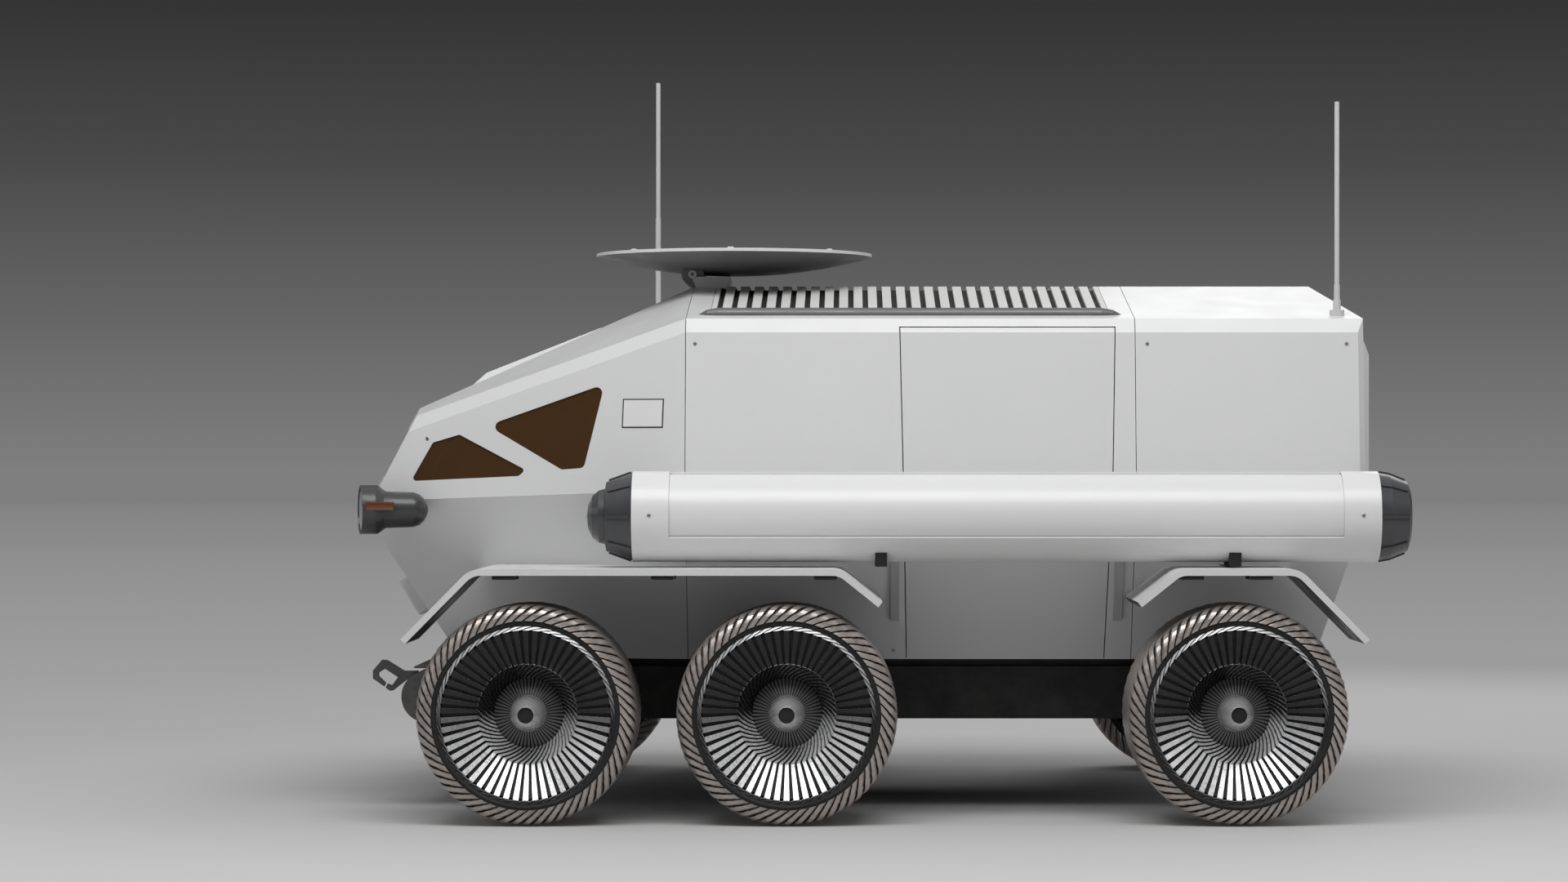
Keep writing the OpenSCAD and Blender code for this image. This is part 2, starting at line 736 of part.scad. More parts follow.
tube_y = belt_half + tube_gap + tube_r;
tube_in = tube_r - tube_t;
cover_r = tube_in - run_gap;
shaft_r = 30;
tube_open_x1 = tube_x1 - tube_band;
tube_open_x0 = tube_x0 + tube_band;
tube_arm_x = [-30, -2010];
tube_arm_half = 32;
tube_arm_drop = 22;
tube_end_t = 40;
cover_end = 50;

// The part of a ring about the tube's axis between two angles above level
module tube_sector(r_out, r_in, x0, x1, a0, a1) translate([x0, 0, 0]) rotate([90, 0, 90])
    rotate([0, 0, a0]) rotate_extrude(angle = a1 - a0, $fn = fine)
        translate([r_in, 0]) square([r_out - r_in, x1 - x0]);

module array_tube(side) color("white") on_side(side) {
    translate([0, tube_y, tube_z]) difference() {
        lathe_x([[tube_x0, shaft_r + fit], [tube_x0, tube_r], [tube_x1, tube_r],
            [tube_x1, shaft_r + fit], [tube_x1 - tube_end_t, shaft_r + fit],
            [tube_x1 - tube_end_t, tube_in], [tube_x0 + tube_end_t, tube_in],
            [tube_x0 + tube_end_t, shaft_r + fit]]);
        tube_sector(tube_r + 20, tube_in - 20, tube_open_x0, tube_open_x1, slot_lo, slot_hi);
    }
    for (x = tube_arm_x) difference() {
        box([x - tube_arm_half, sill_half, tube_z - tube_r - tube_arm_drop],
            [x + tube_arm_half, tube_y + 10, tube_z - tube_r + 50]);
        translate([x - 2 * tube_arm_half, tube_y, tube_z]) rotate([0, 90, 0])
            cylinder(4 * tube_arm_half, tube_in + 2, tube_in + 2, $fn = fine);
        inside(side_planes);
    }
}

// A curved cover that turns on the shaft by a disc at each end
module array_cover(side) color([0.95, 0.95, 0.95]) on_side(side) translate([0, tube_y, tube_z]) {
    tube_sector(cover_r, cover_r - tube_t, tube_x0 + cover_end, tube_x1 - cover_end,
        slot_lo - 6, slot_hi + 6);
    for (x = [tube_x0 + cover_end, tube_x1 - cover_end - tube_t])
        lathe_x([[x, shaft_r + fit], [x, cover_r - 2], [x + tube_t, cover_r - 2],
            [x + tube_t, shaft_r + fit]]);
}

// Outlines of the two caps, as X and radius points from the tube's end
front_cap = [[0, 0], [0, tube_r - 6], [150, tube_r - 60], [156, tube_r - 98], [190, tube_r - 106],
    [228, tube_r - 136], [252, tube_r - 186], [262, 0]];
rear_cap = [[0, 0], [0, tube_r - 6], [-66, tube_r - 18], [-165, tube_r - 58], [-181, tube_r - 100],
    [-181, 0]];

// The rolled array on its shaft, with the dark caps that close the tube's ends
module array_rolls() color([0.27, 0.27, 0.28]) both_sides() translate([0, tube_y, tube_z]) {
    lathe_x([[tube_open_x0 - 100, 0], [tube_open_x0 - 100, roll_r], [tube_open_x1 + 100, roll_r],
        [tube_open_x1 + 100, 0]]);
    lathe_x([[tube_x0 - 1, 0], [tube_x0 - 1, shaft_r], [tube_x1 + 1, shaft_r], [tube_x1 + 1, 0]]);
    translate([tube_x1, 0, 0]) lathe_x(front_cap);
    translate([tube_x0, 0, 0]) lathe_x(rear_cap);
}

// --- Dish and antennas ---

pivot_z = top_z + pivot_rise;
drum_half = 300;
trunnion_r = 12;
cheek_t = 24;
cheek_face = drum_half + run_gap + cheek_t;
belly_z = pivot_z + 2;
function dish_z(r) = belly_z + dish_depth * pow(r / dish_r, 2);
module dish_bowl(low, high) translate([dish_x, 0, 0]) rotate_extrude($fn = 180) polygon(concat(
    [for (i = [0 : 12]) let (r = dish_r * i / 12) [r, dish_z(r) + low]],
    [for (i = [12 : -1 : 0]) let (r = dish_r * i / 12) [r, dish_z(r) + high]]));

module pivot_cylinder(r, half) translate([pivot_x, -half, pivot_z]) rotate([-90, 0, 0])
    cylinder(2 * half, r, r, $fn = fine);

module dish_reflector() color([0.4, 0.4, 0.4]) {
    dish_bowl(0, dish_t);
    difference() {
        pivot_cylinder(pivot_r, drum_half);
        dish_bowl(0.5, 400);
    }
    pivot_cylinder(trunnion_r, cheek_face);
}

module dish_pedestal() color([0.5, 0.5, 0.5]) difference() {
    union() {
        across([[pivot_x - 225, pivot_z - 16], [pivot_x - 200, top_z - 60],
            [front_seam_x - 10, top_z - 60], [front_seam_x - 10, pivot_z - 16]],
            -cheek_face, cheek_face);
        both_sides() translate([0, drum_half + run_gap, 0]) {
            translate([pivot_x, 0, pivot_z - 1]) rotate([-90, 0, 0])
                cylinder(cheek_t, trunnion_r + 12, trunnion_r + 12, $fn = 48);
            across([[front_seam_x - 12, pivot_z - 24], [front_seam_x - 12, top_z - 10],
                [pivot_x, pivot_z - 25]], 0, cheek_t);
        }
    }
    pivot_cylinder(pivot_r + run_gap, drum_half + run_gap);
    pivot_cylinder(trunnion_r + fit, drum_half + 200);
    cabin_volume();
}

module whip(x, y, foot, collar, tip, thick) {
    difference() {
        translate([x, y, foot - 60]) cylinder(90, 3 * whip_r, 3 * whip_r, $fn = 48);
        cabin_volume();
    }
    translate([x, y, foot + 20]) cylinder(collar - foot - 20, whip_r + 8, whip_r + 8, $fn = 48);
    translate([x, y, collar]) cylinder(thick - collar, whip_r + 3, whip_r + 3, $fn = 48);
    translate([x, y, thick]) cylinder(tip - thick, whip_r, whip_r, $fn = 48);
}

front_whip = [front_seam_x + 286, nose_half];
rear_whip = [rear_x + 134, eave_half - 135];
module antenna_front() color([0.85, 0.85, 0.85]) whip(front_whip.x, -front_whip.y,
    shoulder_z + 20, shoulder_z + 120, whip_front_z, shoulder_z + 824);
module antenna_rear() color([0.85, 0.85, 0.85])
    whip(rear_whip.x, rear_whip.y, eave_z + 23, eave_z + 113, whip_rear_z, eave_z + 200);

// --- Running gear, in the frame of a left wheel whose outer face is at Y = 0 ---

lug_r = 60;
upright_y = -kingpin_in - 140;
upright_t = 40;
lug_h = 46;
upright_h = knuckle_h + run_gap + lug_h;
arm_dz = 70;
motor_y = -kingpin_in + 75;
stub_end = -72;
module at_wheel(x) translate([x, wheel_face, wheel_r]) children();
module along_axle(y0, y1, r) translate([0, y0, 0]) rotate([-90, 0, 0])
    cylinder(y1 - y0, r, r, $fn = fine);

module arms() {
    for (s = [-1, 1])
        box([-arm_half, chassis_half - wheel_face, s * arm_dz - arm_t / 2],
            [arm_half, upright_y + 1, s * arm_dz + arm_t / 2]);
    box([-arm_half, upright_y, -upright_h], [arm_half, upright_y + upright_t, upright_h]);
}

module steered_suspension(x) color([0.2, 0.2, 0.21]) both_sides() at_wheel(x) difference() {
    union() {
        arms();
        for (s = [-1, 1]) translate([0, 0, s * (upright_h - lug_h / 2) - lug_h / 2]) {
            translate([0, -kingpin_in, 0]) cylinder(lug_h, lug_r, lug_r, $fn = fine);
            box([-lug_r, upright_y + 1, 0], [lug_r, -kingpin_in, lug_h]);
        }
    }
    translate([0, -kingpin_in, -2 * upright_h])
        cylinder(4 * upright_h, kingpin_r + fit, kingpin_r + fit, $fn = fine);
}

module fixed_suspension(x) color([0.2, 0.2, 0.21]) both_sides() at_wheel(x) {
    arms();
    along_axle(upright_y + 1, motor_y + motor_w, motor_r);
    along_axle(motor_y, stub_end, stub_r);
}

module knuckle(x, side) color([0.25, 0.25, 0.26]) on_side(side) at_wheel(x) {
    translate([0, -kingpin_in, -knuckle_h]) cylinder(2 * knuckle_h, lug_r - 12, lug_r - 12, $fn = fine);
    translate([0, -kingpin_in, -upright_h]) cylinder(2 * upright_h, kingpin_r, kingpin_r, $fn = fine);
    box([-40, -kingpin_in, -60], [40, motor_y + 1, 60]);
    along_axle(motor_y, motor_y + motor_w, motor_r);
    along_axle(motor_y, stub_end, stub_r);
}

face_in = 20;
disc_in = 28;
disc_t = 22;
cap_tip_r = 45;
sleeve_t = 45;
sleeve_end = motor_y + motor_w + 15;
barrel_in = tread_in - barrel_t;
ring_r = tread_in - 0.3;
module wheel(x, side) color([0.72, 0.72, 0.72]) on_side(side) at_wheel(x) lathe_y([
    [ring_r, -face_in], [barrel_in, -face_in], [barrel_in, -disc_in],
    [kink_r, -kink_in], [cone_r, -cone_in], [cap_r, -cap_in],
    [cap_r - 8, -cap_in + 85], [cap_r - 35, -face_in - 30], [cap_tip_r, -face_in], [0, -face_in],
    [0, stub_end + 2], [stub_r + fit, stub_end + 2], [stub_r + fit, sleeve_end],
    [stub_r + sleeve_t, sleeve_end], [stub_r + sleeve_t, -cap_in - disc_t],
    [cap_r, -cap_in - disc_t], [cone_r, -cone_in - disc_t], [kink_r + 14, -kink_in - disc_t],
    [barrel_in, -disc_in - disc_t], [barrel_in, -wheel_w + face_in], [ring_r, -wheel_w + face_in]]);

tread_edge = 24;
module tread(x, side) color([0.5, 0.46, 0.43]) on_side(side) at_wheel(x) lathe_y([
    [tread_in, 0], [wheel_r - tread_edge, 0], [wheel_r, -tread_edge],
    [wheel_r, -wheel_w + tread_edge], [wheel_r - tread_edge, -wheel_w], [tread_in, -wheel_w]]);

cabin_front();
cabin_mid();
cabin_rear();
windshield();
roof_window();
side_glass(1);  // side_glass_left
side_glass(-1);  // side_glass_right
side_door(1);  // side_door_left
side_door(-1);  // side_door_right
rear_door();
roof_radiator();
roof_rails();
handrails();
headlamps();
chassis();
tow_bar();
tow_hook();
crew_seats();
console();
fender(front_fender_line, front_pad_x, 1);  // fender_front_left
fender(front_fender_line, front_pad_x, -1);  // fender_front_right
fender(rear_fender_line, rear_pad_x, 1);  // fender_rear_left
fender(rear_fender_line, rear_pad_x, -1);  // fender_rear_right
array_tube(1);  // array_tube_left
array_tube(-1);  // array_tube_right
array_cover(1);  // array_cover_left
array_cover(-1);  // array_cover_right
array_rolls();
dish_pedestal();
dish_reflector();
antenna_front();
antenna_rear();
steered_suspension(front_axle_x);  // suspension_front
fixed_suspension(middle_axle_x);  // suspension_middle
steered_suspension(rear_axle_x);  // suspension_rear
knuckle(front_axle_x, 1);  // knuckle_front_left
knuckle(front_axle_x, -1);  // knuckle_front_right
knuckle(rear_axle_x, 1);  // knuckle_rear_left
knuckle(rear_axle_x, -1);  // knuckle_rear_right
wheel(front_axle_x, 1);  // wheel_front_left
wheel(front_axle_x, -1);  // wheel_front_right
wheel(middle_axle_x, 1);  // wheel_middle_left
wheel(middle_axle_x, -1);  // wheel_middle_right
wheel(rear_axle_x, 1);  // wheel_rear_left
wheel(rear_axle_x, -1);  // wheel_rear_right
tread(front_axle_x, 1);  // tread_front_left
tread(front_axle_x, -1);  // tread_front_right
tread(middle_axle_x, 1);  // tread_middle_left
tread(middle_axle_x, -1);  // tread_middle_right
tread(rear_axle_x, 1);  // tread_rear_left
tread(rear_axle_x, -1);  // tread_rear_right
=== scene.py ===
import json
import math
import bmesh
import bpy
from mathutils import Matrix, Vector

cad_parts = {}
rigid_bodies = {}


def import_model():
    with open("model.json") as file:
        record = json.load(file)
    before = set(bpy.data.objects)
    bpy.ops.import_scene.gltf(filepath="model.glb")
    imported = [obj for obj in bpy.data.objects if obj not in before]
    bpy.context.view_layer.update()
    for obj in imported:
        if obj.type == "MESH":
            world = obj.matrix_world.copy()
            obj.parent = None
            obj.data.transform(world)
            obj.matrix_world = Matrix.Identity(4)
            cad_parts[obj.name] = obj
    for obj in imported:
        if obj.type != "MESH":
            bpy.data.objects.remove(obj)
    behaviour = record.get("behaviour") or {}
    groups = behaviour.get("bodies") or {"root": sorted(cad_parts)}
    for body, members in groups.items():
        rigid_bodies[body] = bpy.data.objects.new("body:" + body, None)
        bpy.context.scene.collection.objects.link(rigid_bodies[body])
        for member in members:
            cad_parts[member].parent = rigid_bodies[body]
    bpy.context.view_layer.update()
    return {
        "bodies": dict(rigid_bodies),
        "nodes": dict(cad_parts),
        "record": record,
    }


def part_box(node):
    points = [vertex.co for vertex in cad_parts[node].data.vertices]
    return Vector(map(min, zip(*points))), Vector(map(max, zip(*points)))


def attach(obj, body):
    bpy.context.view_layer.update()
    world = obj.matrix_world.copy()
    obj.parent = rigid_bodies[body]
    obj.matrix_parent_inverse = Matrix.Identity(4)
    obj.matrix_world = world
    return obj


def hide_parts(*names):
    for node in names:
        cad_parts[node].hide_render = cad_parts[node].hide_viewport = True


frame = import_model()
nodes = frame["nodes"]
print("frame loaded")


def addNode(tree, kind, **values):
    node = tree.nodes.new(kind)
    for key, value in values.items():
        setattr(node, key, value)
    return node


def noiseNode(tree, coords, scale, detail=4.0, rough=0.55):
    noise = addNode(tree, "ShaderNodeTexNoise")
    noise.inputs["Scale"].default_value = scale
    noise.inputs["Detail"].default_value = detail
    noise.inputs["Roughness"].default_value = rough
    tree.links.new(coords, noise.inputs["Vector"])
    return noise.outputs["Fac"]


def rangeNode(tree, value, low, high, toLow, toHigh):
    node = addNode(tree, "ShaderNodeMapRange")
    node.inputs["From Min"].default_value = low
    node.inputs["From Max"].default_value = high
    node.inputs["To Min"].default_value = toLow
    node.inputs["To Max"].default_value = toHigh
    tree.links.new(value, node.inputs["Value"])
    return node.outputs["Result"]


def blendNode(tree, amount, a, b, mode="MIX"):
    node = addNode(tree, "ShaderNodeMix", data_type="RGBA", blend_type=mode)
    for socket, value in ((node.inputs[0], amount), (node.inputs[6], a), (node.inputs[7], b)):
        if isinstance(value, bpy.types.NodeSocket):
            tree.links.new(value, socket)
        else:
            socket.default_value = value
    return node.outputs[2]


def multiply(tree, a, b):
    node = addNode(tree, "ShaderNodeMath", operation="MULTIPLY")
    for socket, value in zip(node.inputs, (a, b)):
        if isinstance(value, bpy.types.NodeSocket):
            tree.links.new(value, socket)
        else:
            socket.default_value = value
    return node.outputs[0]


def shade(colour, factor):
    return (colour[0] * factor, colour[1] * factor, colour[2] * factor, 1.0)


# dust lies full up to one height in metres and thins out to another; sizes of noise are per metre
surface = {"cloudRough": 0.6, "brushStretch": 14.0, "brushLines": 24.0, "brushShade": 0.55,
           "dustColour": (0.33, 0.30, 0.27, 1.0), "dustHeights": (0.35, 1.5), "dustPatch": 7.0,
           "dustSpread": (0.35, 0.75), "glossPatch": 3.1, "glossSpread": (0.3, 0.7), "bumpDepth": 0.002,
           "coatRough": 0.12}


def finish(name, colour, rough=0.4, metal=0.0, mottle=0.06, patch=1.4, grain=60.0, bump=0.05,
           roughSpread=0.12, dust=0.0, brushed=0.0, coat=0.0, underColourAndShade=None, turn=(-0.30, -0.20)):
    # paint or metal with cloudy tone, uneven gloss, a fine surface and dust low down
    mat = bpy.data.materials.new(name)
    mat.use_nodes = True
    tree = mat.node_tree
    shader = tree.nodes["Principled BSDF"]
    coords = addNode(tree, "ShaderNodeTexCoord").outputs["Object"]
    cloud = noiseNode(tree, coords, patch, 6.0, surface["cloudRough"])
    tone = blendNode(tree, cloud, shade(colour, 1.0 - mottle), shade(colour, 1.0 + mottle))
    if brushed > 0:
        stretch = addNode(tree, "ShaderNodeMapping")
        stretch.inputs["Scale"].default_value = (1.0, 1.0, surface["brushStretch"])
        tree.links.new(coords, stretch.inputs["Vector"])
        lines = noiseNode(tree, stretch.outputs["Vector"], surface["brushLines"], 3.0, 0.5)
        tone = blendNode(tree, multiply(tree, lines, brushed), tone, shade(colour, surface["brushShade"]))
    if underColourAndShade is not None:   # faces that look down get another colour: black beneath the white on the fender, painted shade on the spokes
        facing = addNode(tree, "ShaderNodeNewGeometry").outputs["Normal"]
        split = addNode(tree, "ShaderNodeSeparateXYZ")
        tree.links.new(facing, split.inputs[0])
        low = rangeNode(tree, split.outputs["Z"], *turn, 1.0, 0.0)
        tone = blendNode(tree, low, tone, shade(underColourAndShade, 1.0))
    if dust > 0:
        split = addNode(tree, "ShaderNodeSeparateXYZ")
        tree.links.new(coords, split.inputs[0])
        height = rangeNode(tree, split.outputs["Z"], *surface["dustHeights"], 1.0, 0.0)
        speckle = rangeNode(tree, noiseNode(tree, coords, surface["dustPatch"], 8.0, 0.7),
                            *surface["dustSpread"], 0.0, dust)
        tone = blendNode(tree, multiply(tree, height, speckle), tone, surface["dustColour"])
    tree.links.new(tone, shader.inputs["Base Color"])
    fine = noiseNode(tree, coords, grain, 3.0, 0.5)
    smear = noiseNode(tree, coords, patch * surface["glossPatch"], 5.0, surface["cloudRough"])
    gloss = rangeNode(tree, smear, *surface["glossSpread"],
                      max(rough - roughSpread, 0.03), min(rough + roughSpread, 1.0))
    tree.links.new(gloss, shader.inputs["Roughness"])
    lump = addNode(tree, "ShaderNodeBump")
    lump.inputs["Strength"].default_value = bump
    lump.inputs["Distance"].default_value = surface["bumpDepth"]
    tree.links.new(fine, lump.inputs["Height"])
    tree.links.new(lump.outputs["Normal"], shader.inputs["Normal"])
    shader.inputs["Metallic"].default_value = metal
    shader.inputs["Coat Weight"].default_value = coat
    shader.inputs["Coat Roughness"].default_value = surface["coatRough"]
    return mat


def tintedGlass(name, colour, clear):
    # dark tinted pane: mostly its own colour, partly see-through, with smears in the gloss
    mat = finish(name, colour, rough=0.06, mottle=0.12, patch=0.8, grain=9.0, bump=0.01,
                 roughSpread=0.03, coat=1.0)
    shader = mat.node_tree.nodes["Principled BSDF"]
    shader.inputs["Alpha"].default_value = 1.0 - clear
    shader.inputs["IOR"].default_value = 1.5
    return mat


def clothFinish(name, colour):
    mat = finish(name, colour, rough=0.85, mottle=0.18, patch=9.0, grain=420.0, bump=0.6, roughSpread=0.08)
    shader = mat.node_tree.nodes["Principled BSDF"]
    shader.inputs["Sheen Weight"].default_value = 0.3
    return mat


cabinGloss = {"mottle": 0.015, "roughSpread": 0.06, "bump": 0.02, "coat": 0.15}
tubeGloss = {"mottle": 0.012, "roughSpread": 0.04, "bump": 0.015, "coat": 0.2}
finishes = {
    "cabin_white": finish("cabinWhite", (0.745, 0.747, 0.75), rough=0.38, **cabinGloss),
    "door_white": finish("doorWhite", (0.735, 0.737, 0.74), rough=0.39, **cabinGloss),
    "radiator_white": finish("slatWhite", (0.70, 0.70, 0.69), rough=0.50, mottle=0.07, patch=5.0, bump=0.12),
    "tube_white": finish("tubeWhite", (0.80, 0.80, 0.80), rough=0.34, **tubeGloss),
    "cover_white": finish("coverWhite", (0.79, 0.79, 0.793), rough=0.35, **tubeGloss),
    "amber_glass": tintedGlass("amberGlass", (0.085, 0.040, 0.014), 0.22),
    "dark_glass": tintedGlass("darkGlass", (0.012, 0.012, 0.014), 0.08),
    "rail_grey": finish("railGrey", (0.15, 0.15, 0.153), rough=0.42, metal=0.2, mottle=0.08, coat=0.1),
    "handrail_grey": finish("handrailGrey", (0.50, 0.50, 0.50), rough=0.38, mottle=0.08, bump=0.1),
    "lamp_grey": finish("lampGrey", (0.047, 0.048, 0.050), rough=0.36, mottle=0.06, patch=4.0, coat=0.2),
    "chassis_black": finish("chassisBlack", (0.008, 0.008, 0.0085), rough=0.6, mottle=0.2, dust=0.12,
                            bump=0.1),
    "bar_grey": finish("barGrey", (0.075, 0.075, 0.078), rough=0.42, metal=0.5, mottle=0.16, dust=0.4,
                       bump=0.15),
    "console_grey": finish("consoleGrey", (0.05, 0.05, 0.055), rough=0.6, mottle=0.1, grain=260.0, bump=0.3),
    "cap_grey": finish("capGrey", (0.055, 0.056, 0.060), rough=0.36, mottle=0.12, patch=3.0, coat=0.3),
    "dish_grey": finish("dishGrey", (0.17, 0.17, 0.172), rough=0.48, mottle=0.08, patch=2.0, bump=0.08),
    "pedestal_grey": finish("pedestalGrey", (0.58, 0.58, 0.585), rough=0.45, mottle=0.06, patch=3.0),
    "antenna_white": finish("antennaWhite", (0.66, 0.66, 0.66), rough=0.35, mottle=0.05),
    "gear_grey": finish("gearGrey", (0.045, 0.045, 0.048), rough=0.45, metal=0.3, mottle=0.15, dust=0.5,
                        bump=0.12),
    "fender_black": finish("fenderSheet", (0.74, 0.74, 0.745), rough=0.36, mottle=0.05,
                           underColourAndShade=(0.022, 0.022, 0.023)),   # white on top, black beneath
    "seat_cloth": clothFinish("seatCloth", (0.10, 0.105, 0.115)),
    # painted shade: spokes and collars that face down are near black, so the upper half of each wheel reads
    # dark
    "spoke_metal": finish("spokeMetal", (0.82, 0.82, 0.83), rough=0.30, metal=0.45, mottle=0.06, patch=7.0,
                          bump=0.02, underColourAndShade=(0.028, 0.028, 0.030), turn=(-0.02, 0.20)),
    "tread_metal": finish("treadMetal", (0.53, 0.475, 0.445), rough=0.36, metal=0.6, mottle=0.30, patch=9.0,
                          bump=0.12, brushed=0.4, dust=0.35),
    "core_black": finish("coreBlack", (0.010, 0.010, 0.011), rough=0.7, mottle=0.25, bump=0.1),
    "cap_steel": finish("capSteel", (0.66, 0.66, 0.67), rough=0.26, metal=0.55, mottle=0.03, patch=3.0),
    "rib_grey": finish("ribGrey", (0.21, 0.21, 0.215), rough=0.4, metal=0.3, mottle=0.1, patch=6.0),
    "seam_black": finish("seamBlack", (0.012, 0.012, 0.012), rough=0.75, mottle=0.3),
    "plate_white": finish("plateWhite", (0.80, 0.80, 0.80), rough=0.42, mottle=0.03),
    "marker_amber": finish("markerAmber", (0.15, 0.045, 0.018), rough=0.2, mottle=0.15, patch=20.0, coat=0.8),
    "lens_dark": finish("lensDark", (0.020, 0.026, 0.022), rough=0.08, mottle=0.3, patch=11.0, coat=1.0),
    "screw_steel": finish("screwSteel", (0.42, 0.42, 0.43), rough=0.35, metal=0.9, mottle=0.15, patch=30.0),
}
for part in frame["record"]["subparts"]:
    shown = nodes[part["node"]]
    shown.data.materials.clear()
    shown.data.materials.append(finishes[part["material_slot"]])
nodes["dish_pedestal"].data.materials[0] = finishes["pedestal_grey"]
print("finishes made")


def placed(name, mesh, smoothAngle=None):
    # an object in the scene that holds a mesh, smooth except at edges sharper than the angle
    mesh.name = name
    if smoothAngle is not None:
        mesh.shade_smooth()
        mesh.set_sharp_from_angle(angle=math.radians(smoothAngle))
    piece = bpy.data.objects.new(name, mesh)
    bpy.context.scene.collection.objects.link(piece)
    return piece


def newPiece(name, verts, faces, finishNames, smoothAngle=None, faceFinish=None):
    # a closed mesh with its normals outward, from points in metres
    mesh = bpy.data.meshes.new(name)
    mesh.from_pydata([tuple(v) for v in verts], [], faces)
    for finishName in finishNames:
        mesh.materials.append(finishes[finishName])
    if faceFinish is not None:
        mesh.polygons.foreach_set("material_index", faceFinish)
    shape = bmesh.new()
    shape.from_mesh(mesh)
    bmesh.ops.recalc_face_normals(shape, faces=shape.faces)
    shape.to_mesh(mesh)
    shape.free()
    return placed(name, mesh, smoothAngle)


def declare(piece, body, replaced=()):
    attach(piece, body)
    if replaced:
        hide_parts(*replaced)
    return piece


def moved(mesh, matrix, name):
    # a copy of a mesh moved by a matrix, with its faces turned back outward after a mirror
    copy = mesh.copy()
    copy.name = name
    copy.transform(matrix)
    if matrix.determinant() < 0:
        copy.flip_normals()
    return copy


def joined(name, parts):
    # one mesh from several objects, which are removed; their finishes keep their order
    names, joint = [], bmesh.new()
    for part in parts:
        start = []
        for mat in part.data.materials:
            if mat not in names:
                names.append(mat)
            start.append(names.index(mat))
        first = len(joint.faces)
        joint.from_mesh(part.data)
        joint.faces.ensure_lookup_table()
        for i in range(first, len(joint.faces)):
            joint.faces[i].material_index = start[min(joint.faces[i].material_index, len(start) - 1)]
        bpy.data.objects.remove(part)
    mesh = bpy.data.meshes.new(name)
    joint.to_mesh(mesh)
    joint.free()
    for mat in names:
        mesh.materials.append(mat)
    return mesh


def chamfered(name, lo, hi, chamfer, finishName, turn=None):
    # a box in metres with its edges taken off, turned and placed by a matrix
    shape = bmesh.new()
    bmesh.ops.create_cube(shape, size=1.0)
    middle, span = (Vector(lo) + Vector(hi)) / 2, Vector(hi) - Vector(lo)
    for vert in shape.verts:
        vert.co = Vector([middle[i] + vert.co[i] * span[i] for i in range(3)])
    bmesh.ops.bevel(shape, geom=shape.edges[:], offset=chamfer, segments=2, affect="EDGES", profile=0.5)
    if turn is not None:
        bmesh.ops.transform(shape, matrix=turn, verts=shape.verts)
    bmesh.ops.recalc_face_normals(shape, faces=shape.faces)
    mesh = bpy.data.meshes.new(name)
    shape.to_mesh(mesh)
    shape.free()
    mesh.materials.append(finishes[finishName])
    return placed(name, mesh)


def mirrored(mesh, name):
    return moved(mesh, Matrix.Diagonal((1, -1, 1, 1)), name)


def bothSides(name, mesh, body, smoothAngle=None, replaced=()):
    # the left piece and its mirror copy on the right, as one piece on one body
    pair = joined(name, [placed(name + "Left", mesh), placed(name + "Right", mirrored(mesh, name + "Right"))])
    return declare(placed(name, pair, smoothAngle), body, replaced)


def newTree(name, inputs, output):
    # an empty Geometry Nodes tree with named inputs, and its group input and output nodes
    tree = bpy.data.node_groups.new(name, "GeometryNodeTree")
    for socketName, kind in inputs:
        tree.interface.new_socket(socketName, in_out="INPUT", socket_type="NodeSocket" + kind)
    tree.interface.new_socket(output, in_out="OUTPUT", socket_type="NodeSocketGeometry")
    return tree, addNode(tree, "NodeGroupInput").outputs, addNode(tree, "NodeGroupOutput").inputs


def endTree(tree, instances, finishSocket, outputSocket):
    # every tree ends with real geometry in one finish
    realize = addNode(tree, "GeometryNodeRealizeInstances")
    paint = addNode(tree, "GeometryNodeSetMaterial")
    for source, target in ((instances, realize.inputs[0]), (realize.outputs[0], paint.inputs["Geometry"]),
                           (finishSocket, paint.inputs["Material"]), (paint.outputs[0], outputSocket)):
        tree.links.new(source, target)


def repeatTree():
    # copies of one blade, turned step by step round the Y axis
    tree, inputs, outputs = newTree(
        "repeatRoundAxle", (("Blade", "Geometry"), ("Count", "Int"), ("Finish", "Material")), "Ring")
    points = addNode(tree, "GeometryNodePoints")
    step = addNode(tree, "ShaderNodeMath", operation="DIVIDE")
    turn = addNode(tree, "ShaderNodeMath", operation="MULTIPLY")
    rotation = addNode(tree, "ShaderNodeCombineXYZ")
    place = addNode(tree, "GeometryNodeInstanceOnPoints")
    step.inputs[0].default_value = math.tau
    for source, target in (
            (inputs["Count"], points.inputs["Count"]), (inputs["Count"], step.inputs[1]),
            (addNode(tree, "GeometryNodeInputIndex").outputs[0], turn.inputs[0]),
            (step.outputs[0], turn.inputs[1]), (turn.outputs[0], rotation.inputs["Y"]),
            (points.outputs[0], place.inputs["Points"]), (inputs["Blade"], place.inputs["Instance"]),
            (rotation.outputs[0], place.inputs["Rotation"])):
        tree.links.new(source, target)
    endTree(tree, place.outputs[0], inputs["Finish"], outputs["Ring"])
    return tree


def headsTree():
    # one head on every point
    tree, inputs, outputs = newTree(
        "headsOnPoints", (("Points", "Geometry"), ("Head", "Object"), ("Finish", "Material")), "Heads")
    head = addNode(tree, "GeometryNodeObjectInfo")
    place = addNode(tree, "GeometryNodeInstanceOnPoints")
    for source, target in (
            (inputs["Head"], head.inputs["Object"]), (inputs["Points"], place.inputs["Points"]),
            (head.outputs["Geometry"], place.inputs["Instance"])):
        tree.links.new(source, target)
    endTree(tree, place.outputs[0], inputs["Finish"], outputs["Heads"])
    return tree


